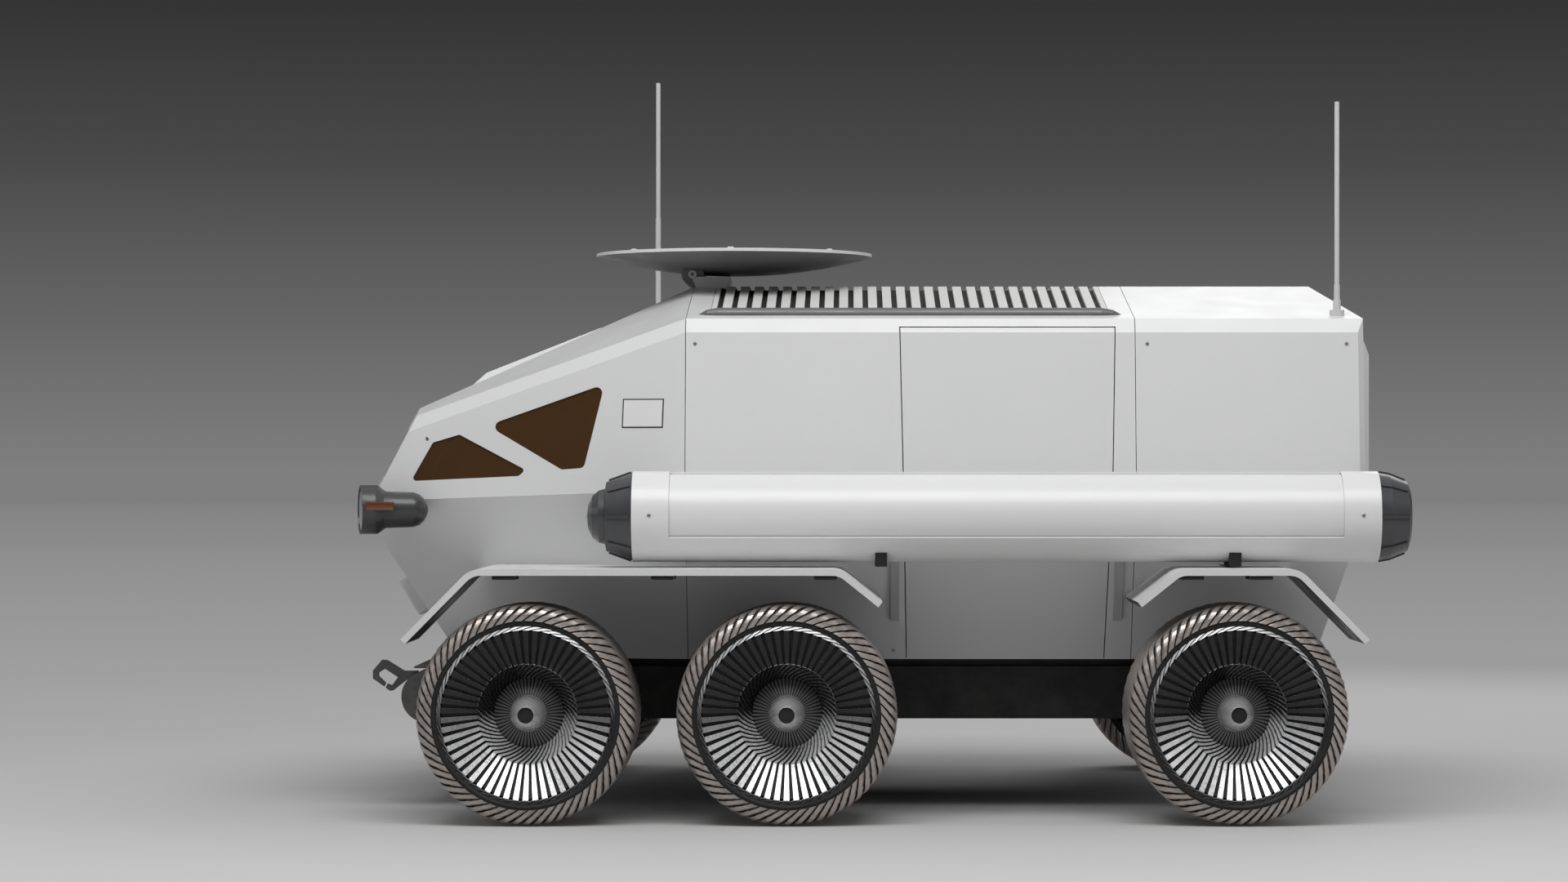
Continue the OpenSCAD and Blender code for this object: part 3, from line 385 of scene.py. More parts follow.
def applyTree(source, tree, values):
    # the tree's result on an object, as a plain mesh, with the source removed
    modifier = source.modifiers.new("repeat", "NODES")
    modifier.node_group = tree
    sockets = {item.name: item.identifier for item in tree.interface.items_tree if item.in_out == "INPUT"}
    for name, value in values.items():
        modifier[sockets[name]] = value
    source.update_tag()
    mesh = bpy.data.meshes.new_from_object(source.evaluated_get(bpy.context.evaluated_depsgraph_get()))
    source.modifiers.remove(modifier)
    bpy.data.objects.remove(source)
    return mesh


def ringOf(blade, count, finishName):
    # a ring of one blade about the Y axis, as a plain mesh
    return applyTree(blade, repeatRound, {"Count": count, "Finish": finishes[finishName]})


def ringPoint(radius, y, angle):
    # a point about the axle; the angle grows clockwise as seen from outside a left wheel
    return Vector((-radius * math.sin(angle), y, radius * math.cos(angle)))


def ribbon(name, path, section, finishName):
    # a blade swept along (radius, y, angle, width) in mm and degrees; its section is a closed
    # loop of (part of the width, height above the path)
    verts, faces, count = [], [], len(section)
    for i, (radius, y, angle, width) in enumerate(path):
        before, after = path[max(i - 1, 0)], path[min(i + 1, len(path) - 1)]
        along = Vector((after[0] - before[0], after[1] - before[1])).normalized()
        for part, height in section:
            r = radius - along.y * height
            turn = math.radians(angle) + part * width / radius
            verts.append(ringPoint(r, y + along.x * height, turn) / 1000)
        if i:
            low = (i - 1) * count
            faces += [(low + j, low + (j + 1) % count, low + count + (j + 1) % count, low + count + j)
                      for j in range(count)]
    last = (len(path) - 1) * count
    faces += [tuple(range(count)), tuple(range(last, last + count))]
    return newPiece(name, verts, faces, [finishName])


def lathe(name, profile, steps, finishNames, faceFinish=None, smoothAngle=35, closed=False):
    # a round piece about the Y axis through (radius, y) points in mm
    verts, faces, marks = [], [], []
    count = len(profile)
    for i in range(steps):
        verts += [ringPoint(r, y, math.tau * i / steps) / 1000 for r, y in profile]
    for i in range(steps):
        for j in range(count if closed else count - 1):
            a, b = i * count, ((i + 1) % steps) * count
            k = (j + 1) % count
            faces.append((a + j, a + k, b + k, b + j))
            marks.append(faceFinish[j] if faceFinish else 0)
    if not closed:
        for j in (0, count - 1):
            faces.append(tuple(i * count + j for i in range(steps)))
            marks.append(faceFinish[min(j, count - 2)] if faceFinish else 0)
    return newPiece(name, verts, faces, finishNames, smoothAngle, marks)


repeatRound = repeatTree()

# blade paths are (radius, y, turn in degrees, width) in mm, with y = 0 at the wheel's outer face;
# the tread's widths come from its pitch share
treadSizes = {"count": 60, "pitchShare": 0.77, "ridge": -0.16, "thick": 6.0, "edges": (-9.0, -4.0),
              "path": ((523, -2.3, 1.6), (534, -2.8, 3.0), (545, -4, 4.5), (560, -9, 6.2), (572, -16, 8),
                       (588, -28, 9.5), (600, -45, 11), (608, -65, 12), (612, -90, 13.5), (613, -150, 16),
                       (613, -220, 19), (613, -285, 22), (613, -350, 25), (613, -415, 28), (613, -480, 31),
                       (613, -550, 34), (612, -610, 36.5), (608, -635, 38), (600, -655, 39),
                       (588, -672, 40.5), (572, -684, 42), (545, -696, 45.5), (524, -697.5, 48))}
spokeSizes = {"count": 54,
              "outer": {"thick": 7.0, "finish": "spoke_metal",
                        "path": ((275, -160, 0, 19), (372, -91, 0, 25), (468, -22, 0, 31))},
              "inner": {"thick": 7.0, "finish": "spoke_metal",
                        "path": ((193, -291, -20, 13), (220, -252, -13.5, 14.5), (248, -206, -6.5, 16.5),
                                 (277, -157, 0.4, 19))},
              "collar": {"thick": 4.0, "finish": "spoke_metal",
                         "path": ((472, -14, 0, 38), (484, -19, 4.7, 39), (496, -24, 9.4, 40),
                                  (508, -29, 14, 41))},
              "rib": {"thick": 7.0, "finish": "rib_grey",
                      "path": ((99, -227, 0, 6.5), (145, -260, 0, 10), (193, -295, 0, 13.5))}}
coreSizes = {"outside": ((481, -29), (499, -20), (506, -14), (541, -15), (566, -28), (589, -60), (599, -110),
                         (600, -590), (590, -640), (566, -672), (541, -684), (506, -686), (498, -678),
                         (481, -668)),
             "backing": ((462, -46), (277, -178), (195, -311), (100, -240), (100, -249), (193, -321),
                         (286, -188), (476, -52)),
             "steps": 120}
capSizes = {"shape": ((103, -236), (99, -225), (97, -196), (91, -150), (80, -98), (66, -56), (55, -33),
                      (49, -24), (46, -21), (44, -24), (43, -30), (20, -30)),
            "dark": 9, "steps": 96, "smooth": 50}   # bands from "dark" on are the black eye


def treadBlades():
    # slanting blades from the outer face over the tread to the inner face, each folded along a ridge
    count, thick, ridge = treadSizes["count"], treadSizes["thick"], treadSizes["ridge"]
    low, high = treadSizes["edges"]
    section = ((-0.5, low), (ridge, 0.0), (0.5, high), (0.5, high - thick), (ridge, -thick),
               (-0.5, low - thick))
    share = treadSizes["pitchShare"]
    path = [(r, y, turn, share * math.tau * r / count) for r, y, turn in treadSizes["path"]]
    return ringOf(ribbon("treadBlade", path, section, "tread_metal"), count, "tread_metal")


def wheelCore():
    # the black drum under the blades and the black dish behind the spokes
    return joined("wheelCore", [lathe(name, coreSizes[key], coreSizes["steps"], ["core_black"], closed=True)
                                for name, key in (("carcass", "outside"), ("backing", "backing"))])


def spokeBlades():
    # flat spokes, bent in the middle, with a collar at the rim and ribs round the cap
    rings = []
    for key in ("outer", "inner", "collar", "rib"):
        sizes = spokeSizes[key]
        flat = ((-0.5, 0.0), (0.5, 0.0), (0.5, -sizes["thick"]), (-0.5, -sizes["thick"]))
        blade = ribbon(key + "Blade", sizes["path"], flat, sizes["finish"])
        rings.append(placed(key + "Ring", ringOf(blade, spokeSizes["count"], sizes["finish"])))
    return joined("spokeBlades", rings)


def hubCap():
    # a stepped steel cap with a black eye
    shape = capSizes["shape"]
    dark = [int(j >= capSizes["dark"]) for j in range(len(shape) - 1)]
    return joined("hubCap", [lathe("cap", shape, capSizes["steps"], ["cap_steel", "core_black"], dark,
                                   capSizes["smooth"])])


def fitWheels():
    # the pieces of one left wheel, copied to every axle and mirrored on the right
    meshes = {"treadBlades": treadBlades(), "wheelCore": wheelCore(), "spokeBlades": spokeBlades(),
              "hubCap": hubCap()}
    for body in frame["bodies"]:
        if not body.startswith("wheel_"):
            continue
        place = body.removeprefix("wheel_")
        tread = "tread_" + place
        low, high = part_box(tread)
        side, face = (1, high.y) if high.y > 0 else (-1, low.y)
        matrix = (Matrix.Translation(((low.x + high.x) / 2, face, (low.z + high.z) / 2))
                  @ Matrix.Diagonal((1, side, 1, 1)))
        for kind, slotName, replaced in (("treadBlades", "tread_metal", (tread,)),
                                         ("wheelCore", "tread_metal", ()),
                                         ("spokeBlades", "spoke_metal", (body,)),
                                         ("hubCap", "spoke_metal", ())):
            name = kind + "_" + place
            declare(placed(name, moved(meshes[kind], matrix, name)), body, replaced)


fitWheels()
print("wheels made")

# corners of the left skin, and three corners of each of its panels
skin = {"shoulder": (1.084, 1.680, 2.756), "belt": (1.084, 1.800, 1.855), "noseBelt": (2.885, 1.300, 1.790),
        "beltRear": (-2.0, 1.800, 1.855), "sillRear": (-2.0, 1.285, 0.871)}
panels = {"upper": ("shoulder", "beltRear", "belt"), "nose": ("shoulder", "belt", "noseBelt"),
          "lower": ("belt", "beltRear", "sillRear")}


def panelPlace(panel, x, z):
    # a matrix whose origin is on the left skin at x and z, with local Z pointing out of it
    a, b, c = [Vector(skin[key]) for key in panels[panel]]
    normal = (b - a).cross(c - a).normalized()
    normal = normal if normal.y > 0 else -normal
    y = a.y - (normal.x * (x - a.x) + normal.z * (z - a.z)) / normal.y
    up = (Vector((0, 0, 1)) - normal * normal.z).normalized()
    along = up.cross(normal)
    turn = Matrix((along, up, normal)).transposed().to_4x4()
    return Matrix.Translation((x, y, z)) @ turn


# the head in mm; the places in metres, as x and z on a panel or as a whole point on the tube
screwSizes = {"radius": 11.0, "rise": 4.0, "edge": 2.5, "socket": 4.5, "sink": 1.0, "steps": 24,
              "upper": ((1.030, 2.690), (-1.556, 2.690), (-2.695, 2.690)),
              "nose": ((2.594, 2.151),),
              "lower": ((-0.108, 0.924),),
              "tube": ((1.263, 2.3552, 1.7165), (-2.716, 2.3552, 1.7165))}


def screwMesh():
    # flat screws at the joints of the panels and on the bands of the array tubes
    tree = headsTree()
    r, rise, socket, sink = [screwSizes[key] for key in ("radius", "rise", "socket", "sink")]
    profile = ((r, sink), (r, -rise / 2), (r - screwSizes["edge"], -rise), (socket, -rise), (socket, -sink))
    groups = []
    for panel in ("upper", "nose", "lower", "tube"):
        head = lathe("screwHead", profile, screwSizes["steps"], ["screw_steel"])
        if panel == "tube":
            spots = [Vector(spot) for spot in screwSizes[panel]]
            turn = Matrix.Rotation(math.pi, 4, "X")
        else:
            places = [panelPlace(panel, x, z) for x, z in screwSizes[panel]]
            spots = [place.translation for place in places]
            turn = places[0].to_3x3().to_4x4() @ Matrix.Rotation(-math.pi / 2, 4, "X")
        head.data.transform(turn)
        source = newPiece("spots", spots, [], ["screw_steel"])
        mesh = applyTree(source, tree, {"Head": head, "Finish": finishes["screw_steel"]})
        bpy.data.objects.remove(head)
        groups.append(placed(panel + "Screws", mesh))
    return joined("panelScrews", groups)


plateSizes = {"x": (1.205, 1.452), "z": (2.209, 2.377), "rim": 0.007, "rimRise": 0.0022, "rise": 0.0034,
              "sink": 0.001, "edge": 0.0008}


def plateMesh():
    # a blank plate with a thin dark outline
    (x0, x1), (z0, z1), edge = plateSizes["x"], plateSizes["z"], plateSizes["edge"]
    place = panelPlace("nose", (x0 + x1) / 2, (z0 + z1) / 2)
    wide, tall = (x1 - x0) / 2, (z1 - z0) / 2
    faceWide, faceTall = wide - plateSizes["rim"], tall - plateSizes["rim"]
    outline = chamfered("plateRim", (-wide, -tall, -plateSizes["sink"]), (wide, tall, plateSizes["rimRise"]),
                        edge, "seam_black", place)
    face = chamfered("plateFace", (-faceWide, -faceTall, 0.0), (faceWide, faceTall, plateSizes["rise"]),
                     edge, "plate_white", place)
    return joined("nosePlate", [outline, face])


bothSides("panelScrews", screwMesh(), "rover", smoothAngle=35)
bothSides("nosePlates", plateMesh(), "rover")
print("screws and plates made")

# the barrel's (radius, y) points in mm; the front's insets and depths, from the rim to the lens
lampSizes = {"tip": 3.000, "y": 1.480, "z": 1.740, "toe": 12.0, "trim": 0.002, "steps": 96,
             "profile": ((8, -424), (30, -418), (62, -402), (88, -375), (101, -340), (106, -186),
                         (110, -175), (138, -137), (141, -128), (141, 0)),
             "front": ((0.010, 0.0), (0.0015, -0.007), (0.035, 0.004), (0.045, 0.002)),
             "armX": (2.690, 2.820), "armRoot": 1.290, "armHalf": 0.040, "armEdge": 0.006,
             "marker": ((2.760, 1.560, 1.737), (2.918, 1.6230, 1.786)), "markerEdge": 0.004}


def lampMesh():
    # a rounded barrel whose front is cut a little outward, with a sunk lens, a marker and an arm
    tip, y, z = lampSizes["tip"], lampSizes["y"], lampSizes["z"]
    reach, toe = lampSizes["profile"][-1][0] / 1000, math.radians(lampSizes["toe"])
    barrel = lathe("barrel", lampSizes["profile"], lampSizes["steps"], ["lamp_grey", "lens_dark"],
                   smoothAngle=None)
    barrel.data.transform(Matrix.Translation((tip, y, z)) @ Matrix.Rotation(-math.pi / 2, 4, "Z"))
    shape = bmesh.new()
    shape.from_mesh(barrel.data)
    bmesh.ops.bisect_plane(shape, geom=shape.verts[:] + shape.edges[:] + shape.faces[:],
                           plane_co=(tip - reach * math.tan(toe) - lampSizes["trim"], y, z),
                           plane_no=(math.cos(toe), math.sin(toe), 0.0), clear_outer=True)
    edges = [edge for edge in shape.edges if edge.is_boundary]
    front = bmesh.ops.contextual_create(shape, geom=edges)["faces"]
    bmesh.ops.recalc_face_normals(shape, faces=shape.faces)
    for inset, depth in lampSizes["front"]:
        bmesh.ops.inset_region(shape, faces=front, thickness=inset, depth=depth, use_even_offset=True)
        if depth < 0:   # past the sunk step the front is lens
            front[0].material_index = 1
    shape.to_mesh(barrel.data)
    shape.free()
    (x0, x1), half = lampSizes["armX"], lampSizes["armHalf"]
    arm = chamfered("lampArm", (x0, lampSizes["armRoot"], z - half), (x1, y, z + half), lampSizes["armEdge"],
                    "lamp_grey")
    marker = chamfered("lampMarker", *lampSizes["marker"], lampSizes["markerEdge"], "marker_amber")
    return joined("lamp", [barrel, arm, marker])


bothSides("lampShells", lampMesh(), "rover", smoothAngle=40, replaced=("headlamps",))
print("lamps made")

tubeAxis = {"y": 2.100, "z": 1.707}
ribSizes = {"count": 8, "height": (-4.0, 9.0),   # rib paths are in mm, as the blades' are
            "front": {"x": 1.363, "path": ((200.4, 135, 0, 15), (245.4, 10, 0, 17))},
            "rear": {"x": -2.819, "path": ((202.0, 154, 0, 15), (237.0, 66, 0, 16), (247.4, 8, 0, 17))}}


def capRibMesh():
    # ribs along the cone of each array cap
    low, high = ribSizes["height"]
    section = ((-0.5, low), (0.5, low), (0.5, high), (-0.5, high))
    rings = []
    for key, quarter in (("front", -1), ("rear", 1)):
        mesh = ringOf(ribbon(key + "Rib", ribSizes[key]["path"], section, "cap_grey"), ribSizes["count"],
                      "cap_grey")
        mesh.transform(Matrix.Translation((ribSizes[key]["x"], tubeAxis["y"], tubeAxis["z"]))
                       @ Matrix.Rotation(quarter * math.pi / 2, 4, "Z"))
        rings.append(placed(key + "Ribs", mesh))
    return joined("capRibs", rings)


bothSides("capRibs", capRibMesh(), "rover")

shoeSizes = {"armX": (-0.030, -2.010), "armHalf": 0.0335, "armY": (1.900, 2.262), "armZ": (1.4285, 1.505),
             "hug": 0.254, "hugSteps": 16, "padX": (2.054, 1.178, 0.280, -1.744, -2.124), "padHalf": 0.066,
             "padY": (2.339, 2.591), "padZ": (1.3625, 1.3862), "padEdge": 0.004}


def prismFaces(count):
    # the faces of a prism whose two ends are numbered one after the other
    ends = [tuple(range(count)), tuple(range(count, 2 * count))]
    return ends + [(i, (i + 1) % count, count + (i + 1) % count, count + i) for i in range(count)]


def shoeMesh():
    # black shoes that cup the tube over its two arms, and black pads under the fenders
    (y0, y1), (z0, z1), hug = shoeSizes["armY"], shoeSizes["armZ"], shoeSizes["hug"]
    outer = math.acos((tubeAxis["z"] - z1) / hug)
    inner = -math.asin((tubeAxis["y"] - y0) / hug)
    outline = [(y0, z0), (y1, z0), (y1, z1)]
    for i in range(shoeSizes["hugSteps"] + 1):
        turn = outer + (inner - outer) * i / shoeSizes["hugSteps"]
        outline.append((tubeAxis["y"] + hug * math.sin(turn), tubeAxis["z"] - hug * math.cos(turn)))
    parts = []
    for x in shoeSizes["armX"]:
        verts = [(x + side * shoeSizes["armHalf"], y, z) for side in (-1, 1) for y, z in outline]
        parts.append(newPiece("armShoe", verts, prismFaces(len(outline)), ["seam_black"]))
    half, (y0, y1), (z0, z1) = shoeSizes["padHalf"], shoeSizes["padY"], shoeSizes["padZ"]
    for x in shoeSizes["padX"]:
        parts.append(chamfered("fenderPad", (x - half, y0, z0), (x + half, y1, z1), shoeSizes["padEdge"],
                               "seam_black"))
    return joined("shoe", parts)


bothSides("blackShoes", shoeMesh(), "rover")

# rim points (radius, depth) and the clip's path, in mm below the dish's top
dishSizes = {"x": 0.850, "rim": ((825, 1.5), (838.5, 1.5), (838.5, -17), (825, -17)), "steps": 160,
             "clips": 8, "clip": ((690, -36, 0, 34), (765, -18.5, 0, 34), (833, -1.3, 0, 34)),
             "clipHeight": (-2.0, 10.0)}


def dishMesh():
    # a light rim round the dish and light clips across its edge
    low, high = dishSizes["clipHeight"]
    section = ((-0.5, low), (0.5, low), (0.5, high), (-0.5, high))
    clips = ringOf(ribbon("rimClip", dishSizes["clip"], section, "plate_white"), dishSizes["clips"],
                   "plate_white")
    rim = lathe("dishRim", dishSizes["rim"], dishSizes["steps"], ["plate_white"], closed=True)
    trim = joined("dishTrim", [rim, placed("rimClips", clips)])
    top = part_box("dish_reflector")[1].z
    trim.transform(Matrix.Translation((dishSizes["x"], 0, top)) @ Matrix.Rotation(math.pi / 2, 4, "X"))
    return trim


declare(placed("dishTrim", dishMesh(), smoothAngle=35), "dish")

shadeSheetSizes = {"x": (-1.346, 0.944), "half": 1.396, "crown": 0.250, "top": 3.078, "slope": 0.174, "low": -0.0262,
            "high": -0.0236}


def radiatorShadeSheetPiece():
    # painted shade: a thin dark sheet just above the floor of the radiator's pocket, bent as the roof is, so
    # the radiator's slots read dark
    half, crown, top = shadeSheetSizes["half"], shadeSheetSizes["crown"], shadeSheetSizes["top"]
    edge = top - shadeSheetSizes["slope"] * (half - crown)
    line = [(-half, edge), (-crown, top), (crown, top), (half, edge)]
    section = [(y, z + shadeSheetSizes["low"]) for y, z in line] + [(y, z + shadeSheetSizes["high"]) for y, z in line[::-1]]
    verts = [(x, y, z) for x in shadeSheetSizes["x"] for y, z in section]
    count = len(section)
    faces = prismFaces(count)[2:]
    for first in (0, count):   # each end is three flat strips, because the section isn't convex
        faces += [(first + i, first + i + 1, first + count - 2 - i, first + count - 1 - i) for i in range(3)]
    return newPiece("radiatorBed", verts, faces, ["seam_black"])


declare(radiatorShadeSheetPiece(), "rover")

# foot and head are (x, z) on the slope of the chin
chinSizes = {"foot": (2.439, 0.871), "head": (2.930, 1.651), "half": 0.45, "sink": 0.003,
             "plate": {"z": (1.162, 1.360), "rise": 0.125, "edge": 0.012, "finish": "cabin_white"},
             "strip": {"z": (1.385, 1.505), "rise": 0.005, "edge": 0.002, "finish": "dark_glass"}}


def chinPiece(key):
    # a plate or a strip across the slope of the chin
    sizes, (footX, footZ), half = chinSizes[key], chinSizes["foot"], chinSizes["half"]
    run, rise = [chinSizes["head"][i] - chinSizes["foot"][i] for i in (0, 1)]
    slope = math.hypot(run, rise)
    z0, z1 = sizes["z"]
    centre, tall = (z0 + z1) / 2, (z1 - z0) * slope / rise / 2
    place = Matrix(((0, run / slope, rise / slope, footX + run * (centre - footZ) / rise), (1, 0, 0, 0),
                    (0, rise / slope, -run / slope, centre), (0, 0, 0, 1)))
    return chamfered("chin" + key.title(), (-half, -tall, -chinSizes["sink"]), (half, tall, sizes["rise"]),
                     sizes["edge"], sizes["finish"], place)


for key in ("plate", "strip"):
    declare(chinPiece(key), "rover")
print("caps, shoes, dish, radiator and chin made")

# a pad's halves are half its length, half its width and half its thickness; "at" is (x, z) on the seat
seatSizes = {"x": 1.650, "y": 0.620, "floor": 0.931, "lean": 10.9,
             "cushion": {"at": (0.000, 0.361), "halves": (0.258, 0.256, 0.058)},
             "back": {"at": (-0.266, 0.771), "halves": (0.345, 0.236, 0.056)},
             "plinth": (0.180, 0.270), "plinthEdge": 0.012,   # half width, height
             "pan": (0.255, 0.275, 0.302), "panEdge": 0.006,   # half width, underside, top
             "shell": ((-0.330, -0.225, -0.058), (0.330, 0.225, -0.047)), "shellEdge": 0.004}
padSizes = {"grid": 44, "crown": 4, "puff": 0.42, "pull": 0.035, "corner": 0.07, "smooth": 60,
            "channels": (-0.42, 0.0, 0.42), "channelDepth": 0.011, "channelWidth": 0.055,
            "cord": 0.0055, "cordSides": 8, "cordTuck": 0.992}


def padSpot(u, v, side, halves):
    # a point of a stuffed pad: crowned, its sides pulled in between the corners, with sewn channels across
    halfLong, halfWide, halfThick = halves
    crown, pull = padSizes["crown"], padSizes["pull"]
    puff = ((1 - abs(u) ** crown) * (1 - abs(v) ** crown)) ** padSizes["puff"]
    groove = sum(math.exp(-((u - c) / padSizes["channelWidth"]) ** 2) for c in padSizes["channels"])
    corner = 1 - padSizes["corner"] * (u * v) ** crown
    x = halfLong * u * (1 - pull * math.cos(v * math.pi / 2) * abs(u)) * corner
    y = halfWide * v * (1 - pull * math.cos(u * math.pi / 2) * abs(v)) * corner
    return (x, y, side * max(halfThick * puff - padSizes["channelDepth"] * groove * puff, 0.0))


def padPiece(name, halves):
    # the two crowned faces of a pad share the points of its edge
    n = padSizes["grid"]
    steps = [math.sin(math.pi / 2 * (2 * i / n - 1)) for i in range(n + 1)]
    verts, index, faces = [], {}, []
    for side in (1, -1):
        for i in range(n + 1):
            for j in range(n + 1):
                if side < 0 and (i in (0, n) or j in (0, n)):
                    index[i, j, side] = index[i, j, 1]
                else:
                    index[i, j, side] = len(verts)
                    verts.append(padSpot(steps[i], steps[j], side, halves))
        faces += [tuple(index[i + a, j + b, side] for a, b in ((0, 0), (1, 0), (1, 1), (0, 1)))
                  for i in range(n) for j in range(n)]
    edge = [(i, 0) for i in range(n)] + [(n, j) for j in range(n)]
    edge += [(n - i, n) for i in range(n)] + [(0, n - j) for j in range(n)]
    loop = [Vector(padSpot(steps[i], steps[j], 1, halves)) for i, j in edge]
    return newPiece(name, verts, faces, ["seat_cloth"], padSizes["smooth"]), loop


def cordPiece(name, loop):
    # the corded seam round a pad's edge
    sides, up, verts, faces = padSizes["cordSides"], Vector((0, 0, 1)), [], []
    for k, point in enumerate(loop):
        along = (loop[(k + 1) % len(loop)] - loop[k - 1]).normalized()
        out = along.cross(up)
        for s in range(sides):
            turn = math.tau * s / sides
            verts.append(point * padSizes["cordTuck"]
                         + padSizes["cord"] * (math.cos(turn) * out + math.sin(turn) * up))
        a, b = k * sides, (k + 1) % len(loop) * sides
        faces += [(a + s, a + (s + 1) % sides, b + (s + 1) % sides, b + s) for s in range(sides)]
    return newPiece(name, verts, faces, ["seat_cloth"], padSizes["smooth"])


def seatPlace(key=None):
    # a matrix to the floor under the left seat, or to its cushion or its leaning back
    place = Matrix.Translation((seatSizes["x"], seatSizes["y"], seatSizes["floor"]))
    if key is None:
        return place
    x, z = seatSizes[key]["at"]
    turn = math.radians(90 - seatSizes["lean"]) if key == "back" else 0.0
    return place @ Matrix.Translation((x, 0, z)) @ Matrix.Rotation(turn, 4, "Y")


def seatPadMesh():
    pads = []
    for key in ("cushion", "back"):
        pad, loop = padPiece(key + "Pad", seatSizes[key]["halves"])
        mesh = joined(key + "Pad", [pad, cordPiece(key + "PadCord", loop)])
        mesh.transform(seatPlace(key))
        pads.append(placed(key + "Pad", mesh))
    return joined("seatPad", pads)


def seatFrameMesh():
    # a plinth and a pan under the cushion, and a flat shell behind the back
    wide, tall = seatSizes["plinth"]
    deep, low, high = seatSizes["pan"]
    return joined("seatFrame", [
        chamfered("plinth", (-wide, -wide, 0), (wide, wide, tall), seatSizes["plinthEdge"], "console_grey",
                  seatPlace()),
        chamfered("pan", (-deep, -deep, low), (deep, deep, high), seatSizes["panEdge"], "console_grey",
                  seatPlace()),
        chamfered("shell", *seatSizes["shell"], seatSizes["shellEdge"], "console_grey", seatPlace("back"))])


seatPads = bothSides("seatPads", seatPadMesh(), "rover", replaced=("crew_seats",))
bothSides("seatFrames", seatFrameMesh(), "rover")
print("seats made")

doorSizes = {"face": -2.961, "sink": 0.004,
             "panelY": 0.430, "panelZ": (1.640, 2.560), "line": 0.008, "lineRise": 0.003, "lineEdge": 0.001,
             "handleY": -0.330, "handleZ": (1.930, 2.250), "stand": 0.028, "grip": 0.011, "gripEdge": 0.006,
             "plate": (0.045, 0.050, 0.005), "post": (0.008, 0.012), "postIn": 0.020, "edge": 0.003}


def doorTrimMesh():
    # a thin dark outline on the rear door, and a handle bar on two posts and a plate
    face, back = doorSizes["face"], doorSizes["face"] + doorSizes["sink"]
    (z0, z1), half, line = doorSizes["panelZ"], doorSizes["panelY"], doorSizes["line"]
    parts = []
    for y0, y1, low, high in ((-half, half, z0, z0 + line), (-half, half, z1 - line, z1),
                              (-half, -half + line, z0, z1), (half - line, half, z0, z1)):
        parts.append(chamfered("doorLine", (face - doorSizes["lineRise"], y0, low), (back, y1, high),
                               doorSizes["lineEdge"], "seam_black"))
    y, (z0, z1), grip = doorSizes["handleY"], doorSizes["handleZ"], doorSizes["grip"]
    bar = face - doorSizes["stand"]
    wide, tall, rise = doorSizes["plate"]
    parts.append(chamfered("handlePlate", (face - rise, y - wide, z0 - tall), (back, y + wide, z1 + tall),
                           doorSizes["edge"], "rail_grey"))
    parts.append(chamfered("handleBar", (bar, y - grip, z0), (bar + 2 * grip, y + grip, z1),
                           doorSizes["gripEdge"], "handrail_grey"))
    wide, tall = doorSizes["post"]
    for z in (z0 + doorSizes["postIn"], z1 - doorSizes["postIn"]):
        parts.append(chamfered("handlePost", (bar + grip, y - wide, z - tall), (back, y + wide, z + tall),
                               doorSizes["edge"], "handrail_grey"))
    return joined("rearDoorTrim", parts)


declare(placed("rearDoorTrim", doorTrimMesh()), "rear_door")

# foot and head are (x, z) on the console's sloping face; tall is a share of its length
consoleSizes = {"foot": (2.200, 1.700), "head": (2.380, 1.780), "screenY": (-0.620, -0.207, 0.207, 0.620),
                "halfWide": 0.175, "tall": 0.62, "rise": 0.006, "sink": 0.003, "edge": 0.003}


def screenMesh():
    # four dark screens in a row
    (x0, z0), (x1, z1), half = consoleSizes["foot"], consoleSizes["head"], consoleSizes["halfWide"]
    length = math.hypot(x1 - x0, z1 - z0)
    place = Matrix(((0, (x1 - x0) / length, (z0 - z1) / length, (x0 + x1) / 2), (-1, 0, 0, 0),
                    (0, (z1 - z0) / length, (x1 - x0) / length, (z0 + z1) / 2), (0, 0, 0, 1)))
    tall = consoleSizes["tall"] * length / 2
    return joined("consoleScreens", [
        chamfered("screen", (-y - half, -tall, -consoleSizes["sink"]),
                  (-y + half, tall, consoleSizes["rise"]), consoleSizes["edge"], "lens_dark", place)
        for y in consoleSizes["screenY"]])


declare(placed("consoleScreens", screenMesh()), "rover")
print("rear door and console made")

# the floor's painted light and the sky are (place, tone) stops, from the floor's middle to its edge and from
# level to overhead
studio = {"eye": (0.1475, 26.8, 1.962), "lens": 100.84, "shift": (-0.04167, 0.01927), "farthest": 600.0,
          "floorRadius": 260.0, "floorSides": 96, "floorTones": (0.55, 0.57), "floorRough": 0.75,
          "floorGloss": 0.2,
          "paintedFloorLight": ((0.0, 0.0), (0.014, 0.02), (0.023, 0.08), (0.032, 0.09), (0.048, 0.12), (0.088, 0.155),
                   (0.152, 0.144), (0.37, 0.098), (1.0, 0.058)),
          "sky": ((0.0, 0.212), (0.035, 0.13), (0.07, 0.066), (0.105, 0.034), (0.3, 0.06), (0.65, 0.28),
                  (1.0, 0.45))}
lamps = {   # place, target, size along and across in metres, watts
    "keyLamp": ((0.6, 8.8, 13.0), (0.0, 0.0, 1.2), (13.0, 7.0), 1330.0),
    "topLamp": ((0.2, -0.5, 12.0), (0.2, -0.5, 0.0), (13.0, 9.0), 60.0),
    "backLamp": ((-6.0, -13.0, 9.0), (0.0, 0.0, 1.5), (9.0, 6.0), 300.0),
    "noseLamp": ((13.0, 5.0, 6.0), (1.5, 0.0, 1.4), (6.0, 5.0), 70.0),
    "tailLamp": ((-13.0, 4.0, 6.0), (-1.5, 0.0, 1.4), (6.0, 5.0), 100.0)}


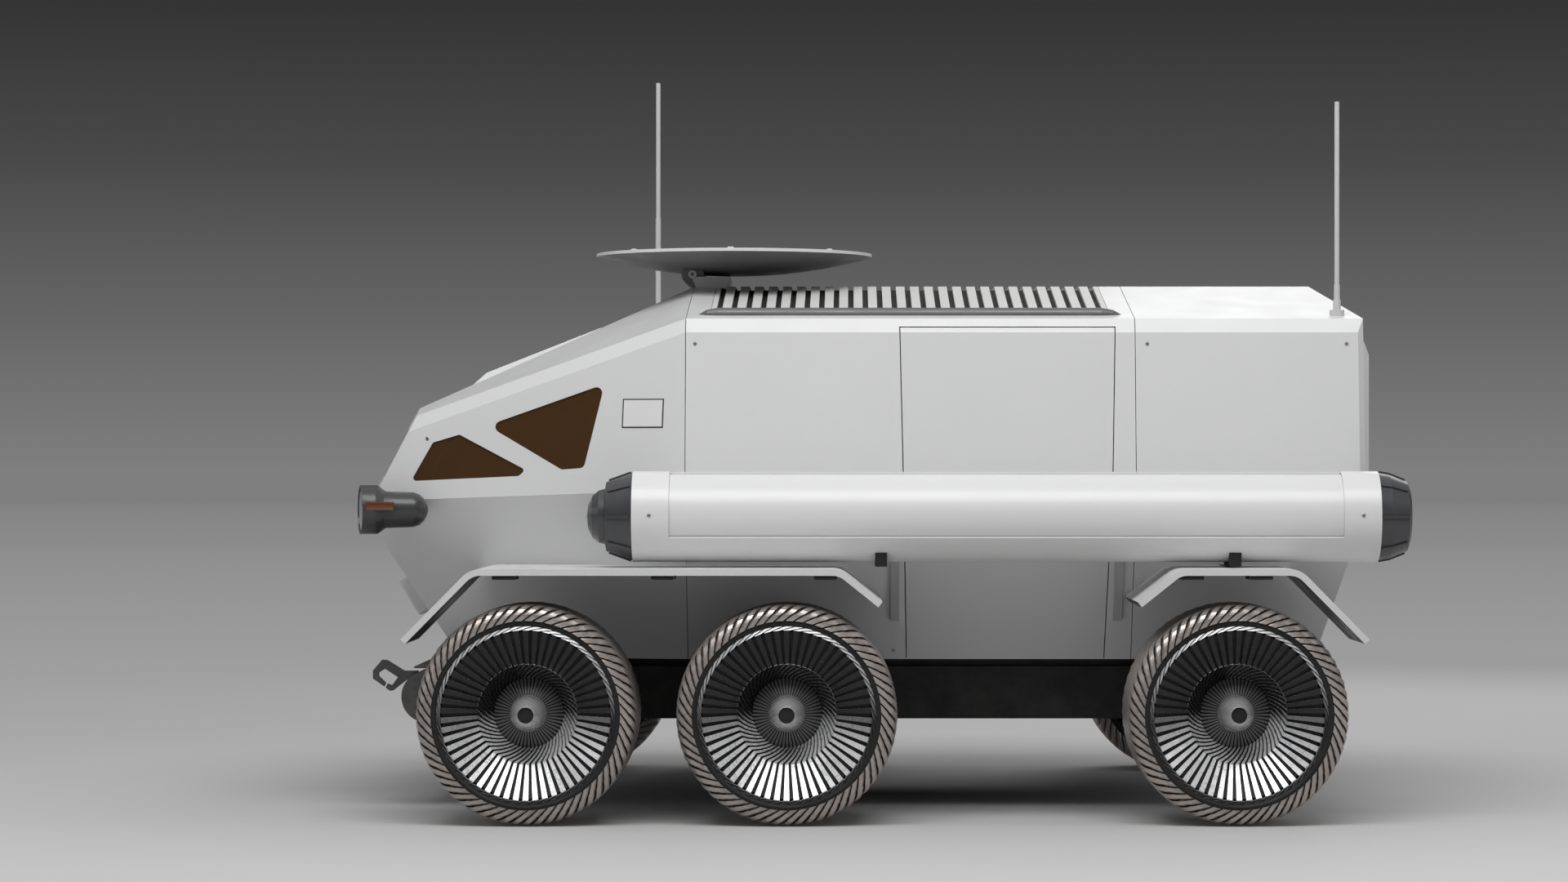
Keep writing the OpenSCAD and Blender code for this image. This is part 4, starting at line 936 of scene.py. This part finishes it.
def rampNode(tree, value, levels):
    # a grey ramp through (place, tone) stops
    ramp = addNode(tree, "ShaderNodeValToRGB")
    stops = ramp.color_ramp.elements
    while len(stops) < len(levels):
        stops.new(0.5)
    for stop, (place, tone) in zip(stops, levels):
        stop.position, stop.color = place, (tone, tone, tone, 1.0)
    tree.links.new(value, ramp.inputs["Fac"])
    return ramp.outputs["Color"]


def studioFloor():
    # a plain pale floor, far wider than the view, with painted light: a soft glow that grows away from the
    # rover
    mat = bpy.data.materials.new("floorPale")
    mat.use_nodes = True
    tree = mat.node_tree
    shader = tree.nodes["Principled BSDF"]
    coords = addNode(tree, "ShaderNodeTexCoord").outputs["Object"]
    low, high = [(tone, tone, tone, 1.0) for tone in studio["floorTones"]]
    cloud = noiseNode(tree, coords, 0.35, 3.0)
    tree.links.new(blendNode(tree, cloud, low, high), shader.inputs["Base Color"])
    reach = addNode(tree, "ShaderNodeVectorMath", operation="LENGTH")
    tree.links.new(coords, reach.inputs[0])
    share = rangeNode(tree, reach.outputs["Value"], 0.0, studio["floorRadius"], 0.0, 1.0)
    # painted light: the floor glows, more the farther it lies from the rover
    tree.links.new(rampNode(tree, share, studio["paintedFloorLight"]), shader.inputs["Emission Color"])
    shader.inputs["Emission Strength"].default_value = 1.0
    shader.inputs["Roughness"].default_value = studio["floorRough"]
    shader.inputs["Specular IOR Level"].default_value = studio["floorGloss"]
    radius, sides = studio["floorRadius"], studio["floorSides"]
    turns = [math.tau * i / sides for i in range(sides)]
    mesh = bpy.data.meshes.new("floor")
    mesh.from_pydata([(radius * math.cos(turn), radius * math.sin(turn), 0.0) for turn in turns], [],
                     [tuple(range(sides))])
    mesh.materials.append(mat)
    floor = placed("floor", mesh)


def studioSky():
    # grey at the horizon, darker just above it and bright overhead
    world = bpy.data.worlds.new("studio")
    bpy.context.scene.world = world
    world.use_nodes = True
    tree = world.node_tree
    split = addNode(tree, "ShaderNodeSeparateXYZ")
    tree.links.new(addNode(tree, "ShaderNodeTexCoord").outputs["Generated"], split.inputs[0])
    sky = rampNode(tree, split.outputs["Z"], studio["sky"])
    tree.links.new(sky, tree.nodes["Background"].inputs["Color"])


def studioLamps():
    for name, (place, target, size, watts) in lamps.items():
        data = bpy.data.lights.new(name, "AREA")
        data.shape, data.energy = "RECTANGLE", watts
        data.size, data.size_y = size
        lamp = bpy.data.objects.new(name, data)
        lamp.location = place
        lamp.rotation_euler = (Vector(target) - Vector(place)).to_track_quat("-Z", "Y").to_euler()
        bpy.context.scene.collection.objects.link(lamp)


def studioCamera():
    # looks square at the left side, from far away
    data = bpy.data.cameras.new("camera")
    data.lens, data.sensor_width, data.clip_end = studio["lens"], 36.0, studio["farthest"]
    data.shift_x, data.shift_y = studio["shift"]
    camera = bpy.data.objects.new("camera", data)
    camera.location = studio["eye"]
    camera.rotation_euler = (math.pi / 2, 0.0, math.pi)
    bpy.context.scene.collection.objects.link(camera)
    bpy.context.scene.camera = camera


studioFloor()
studioSky()
studioLamps()
studioCamera()
bpy.context.scene.view_settings.view_transform = "Standard"
print("studio set")
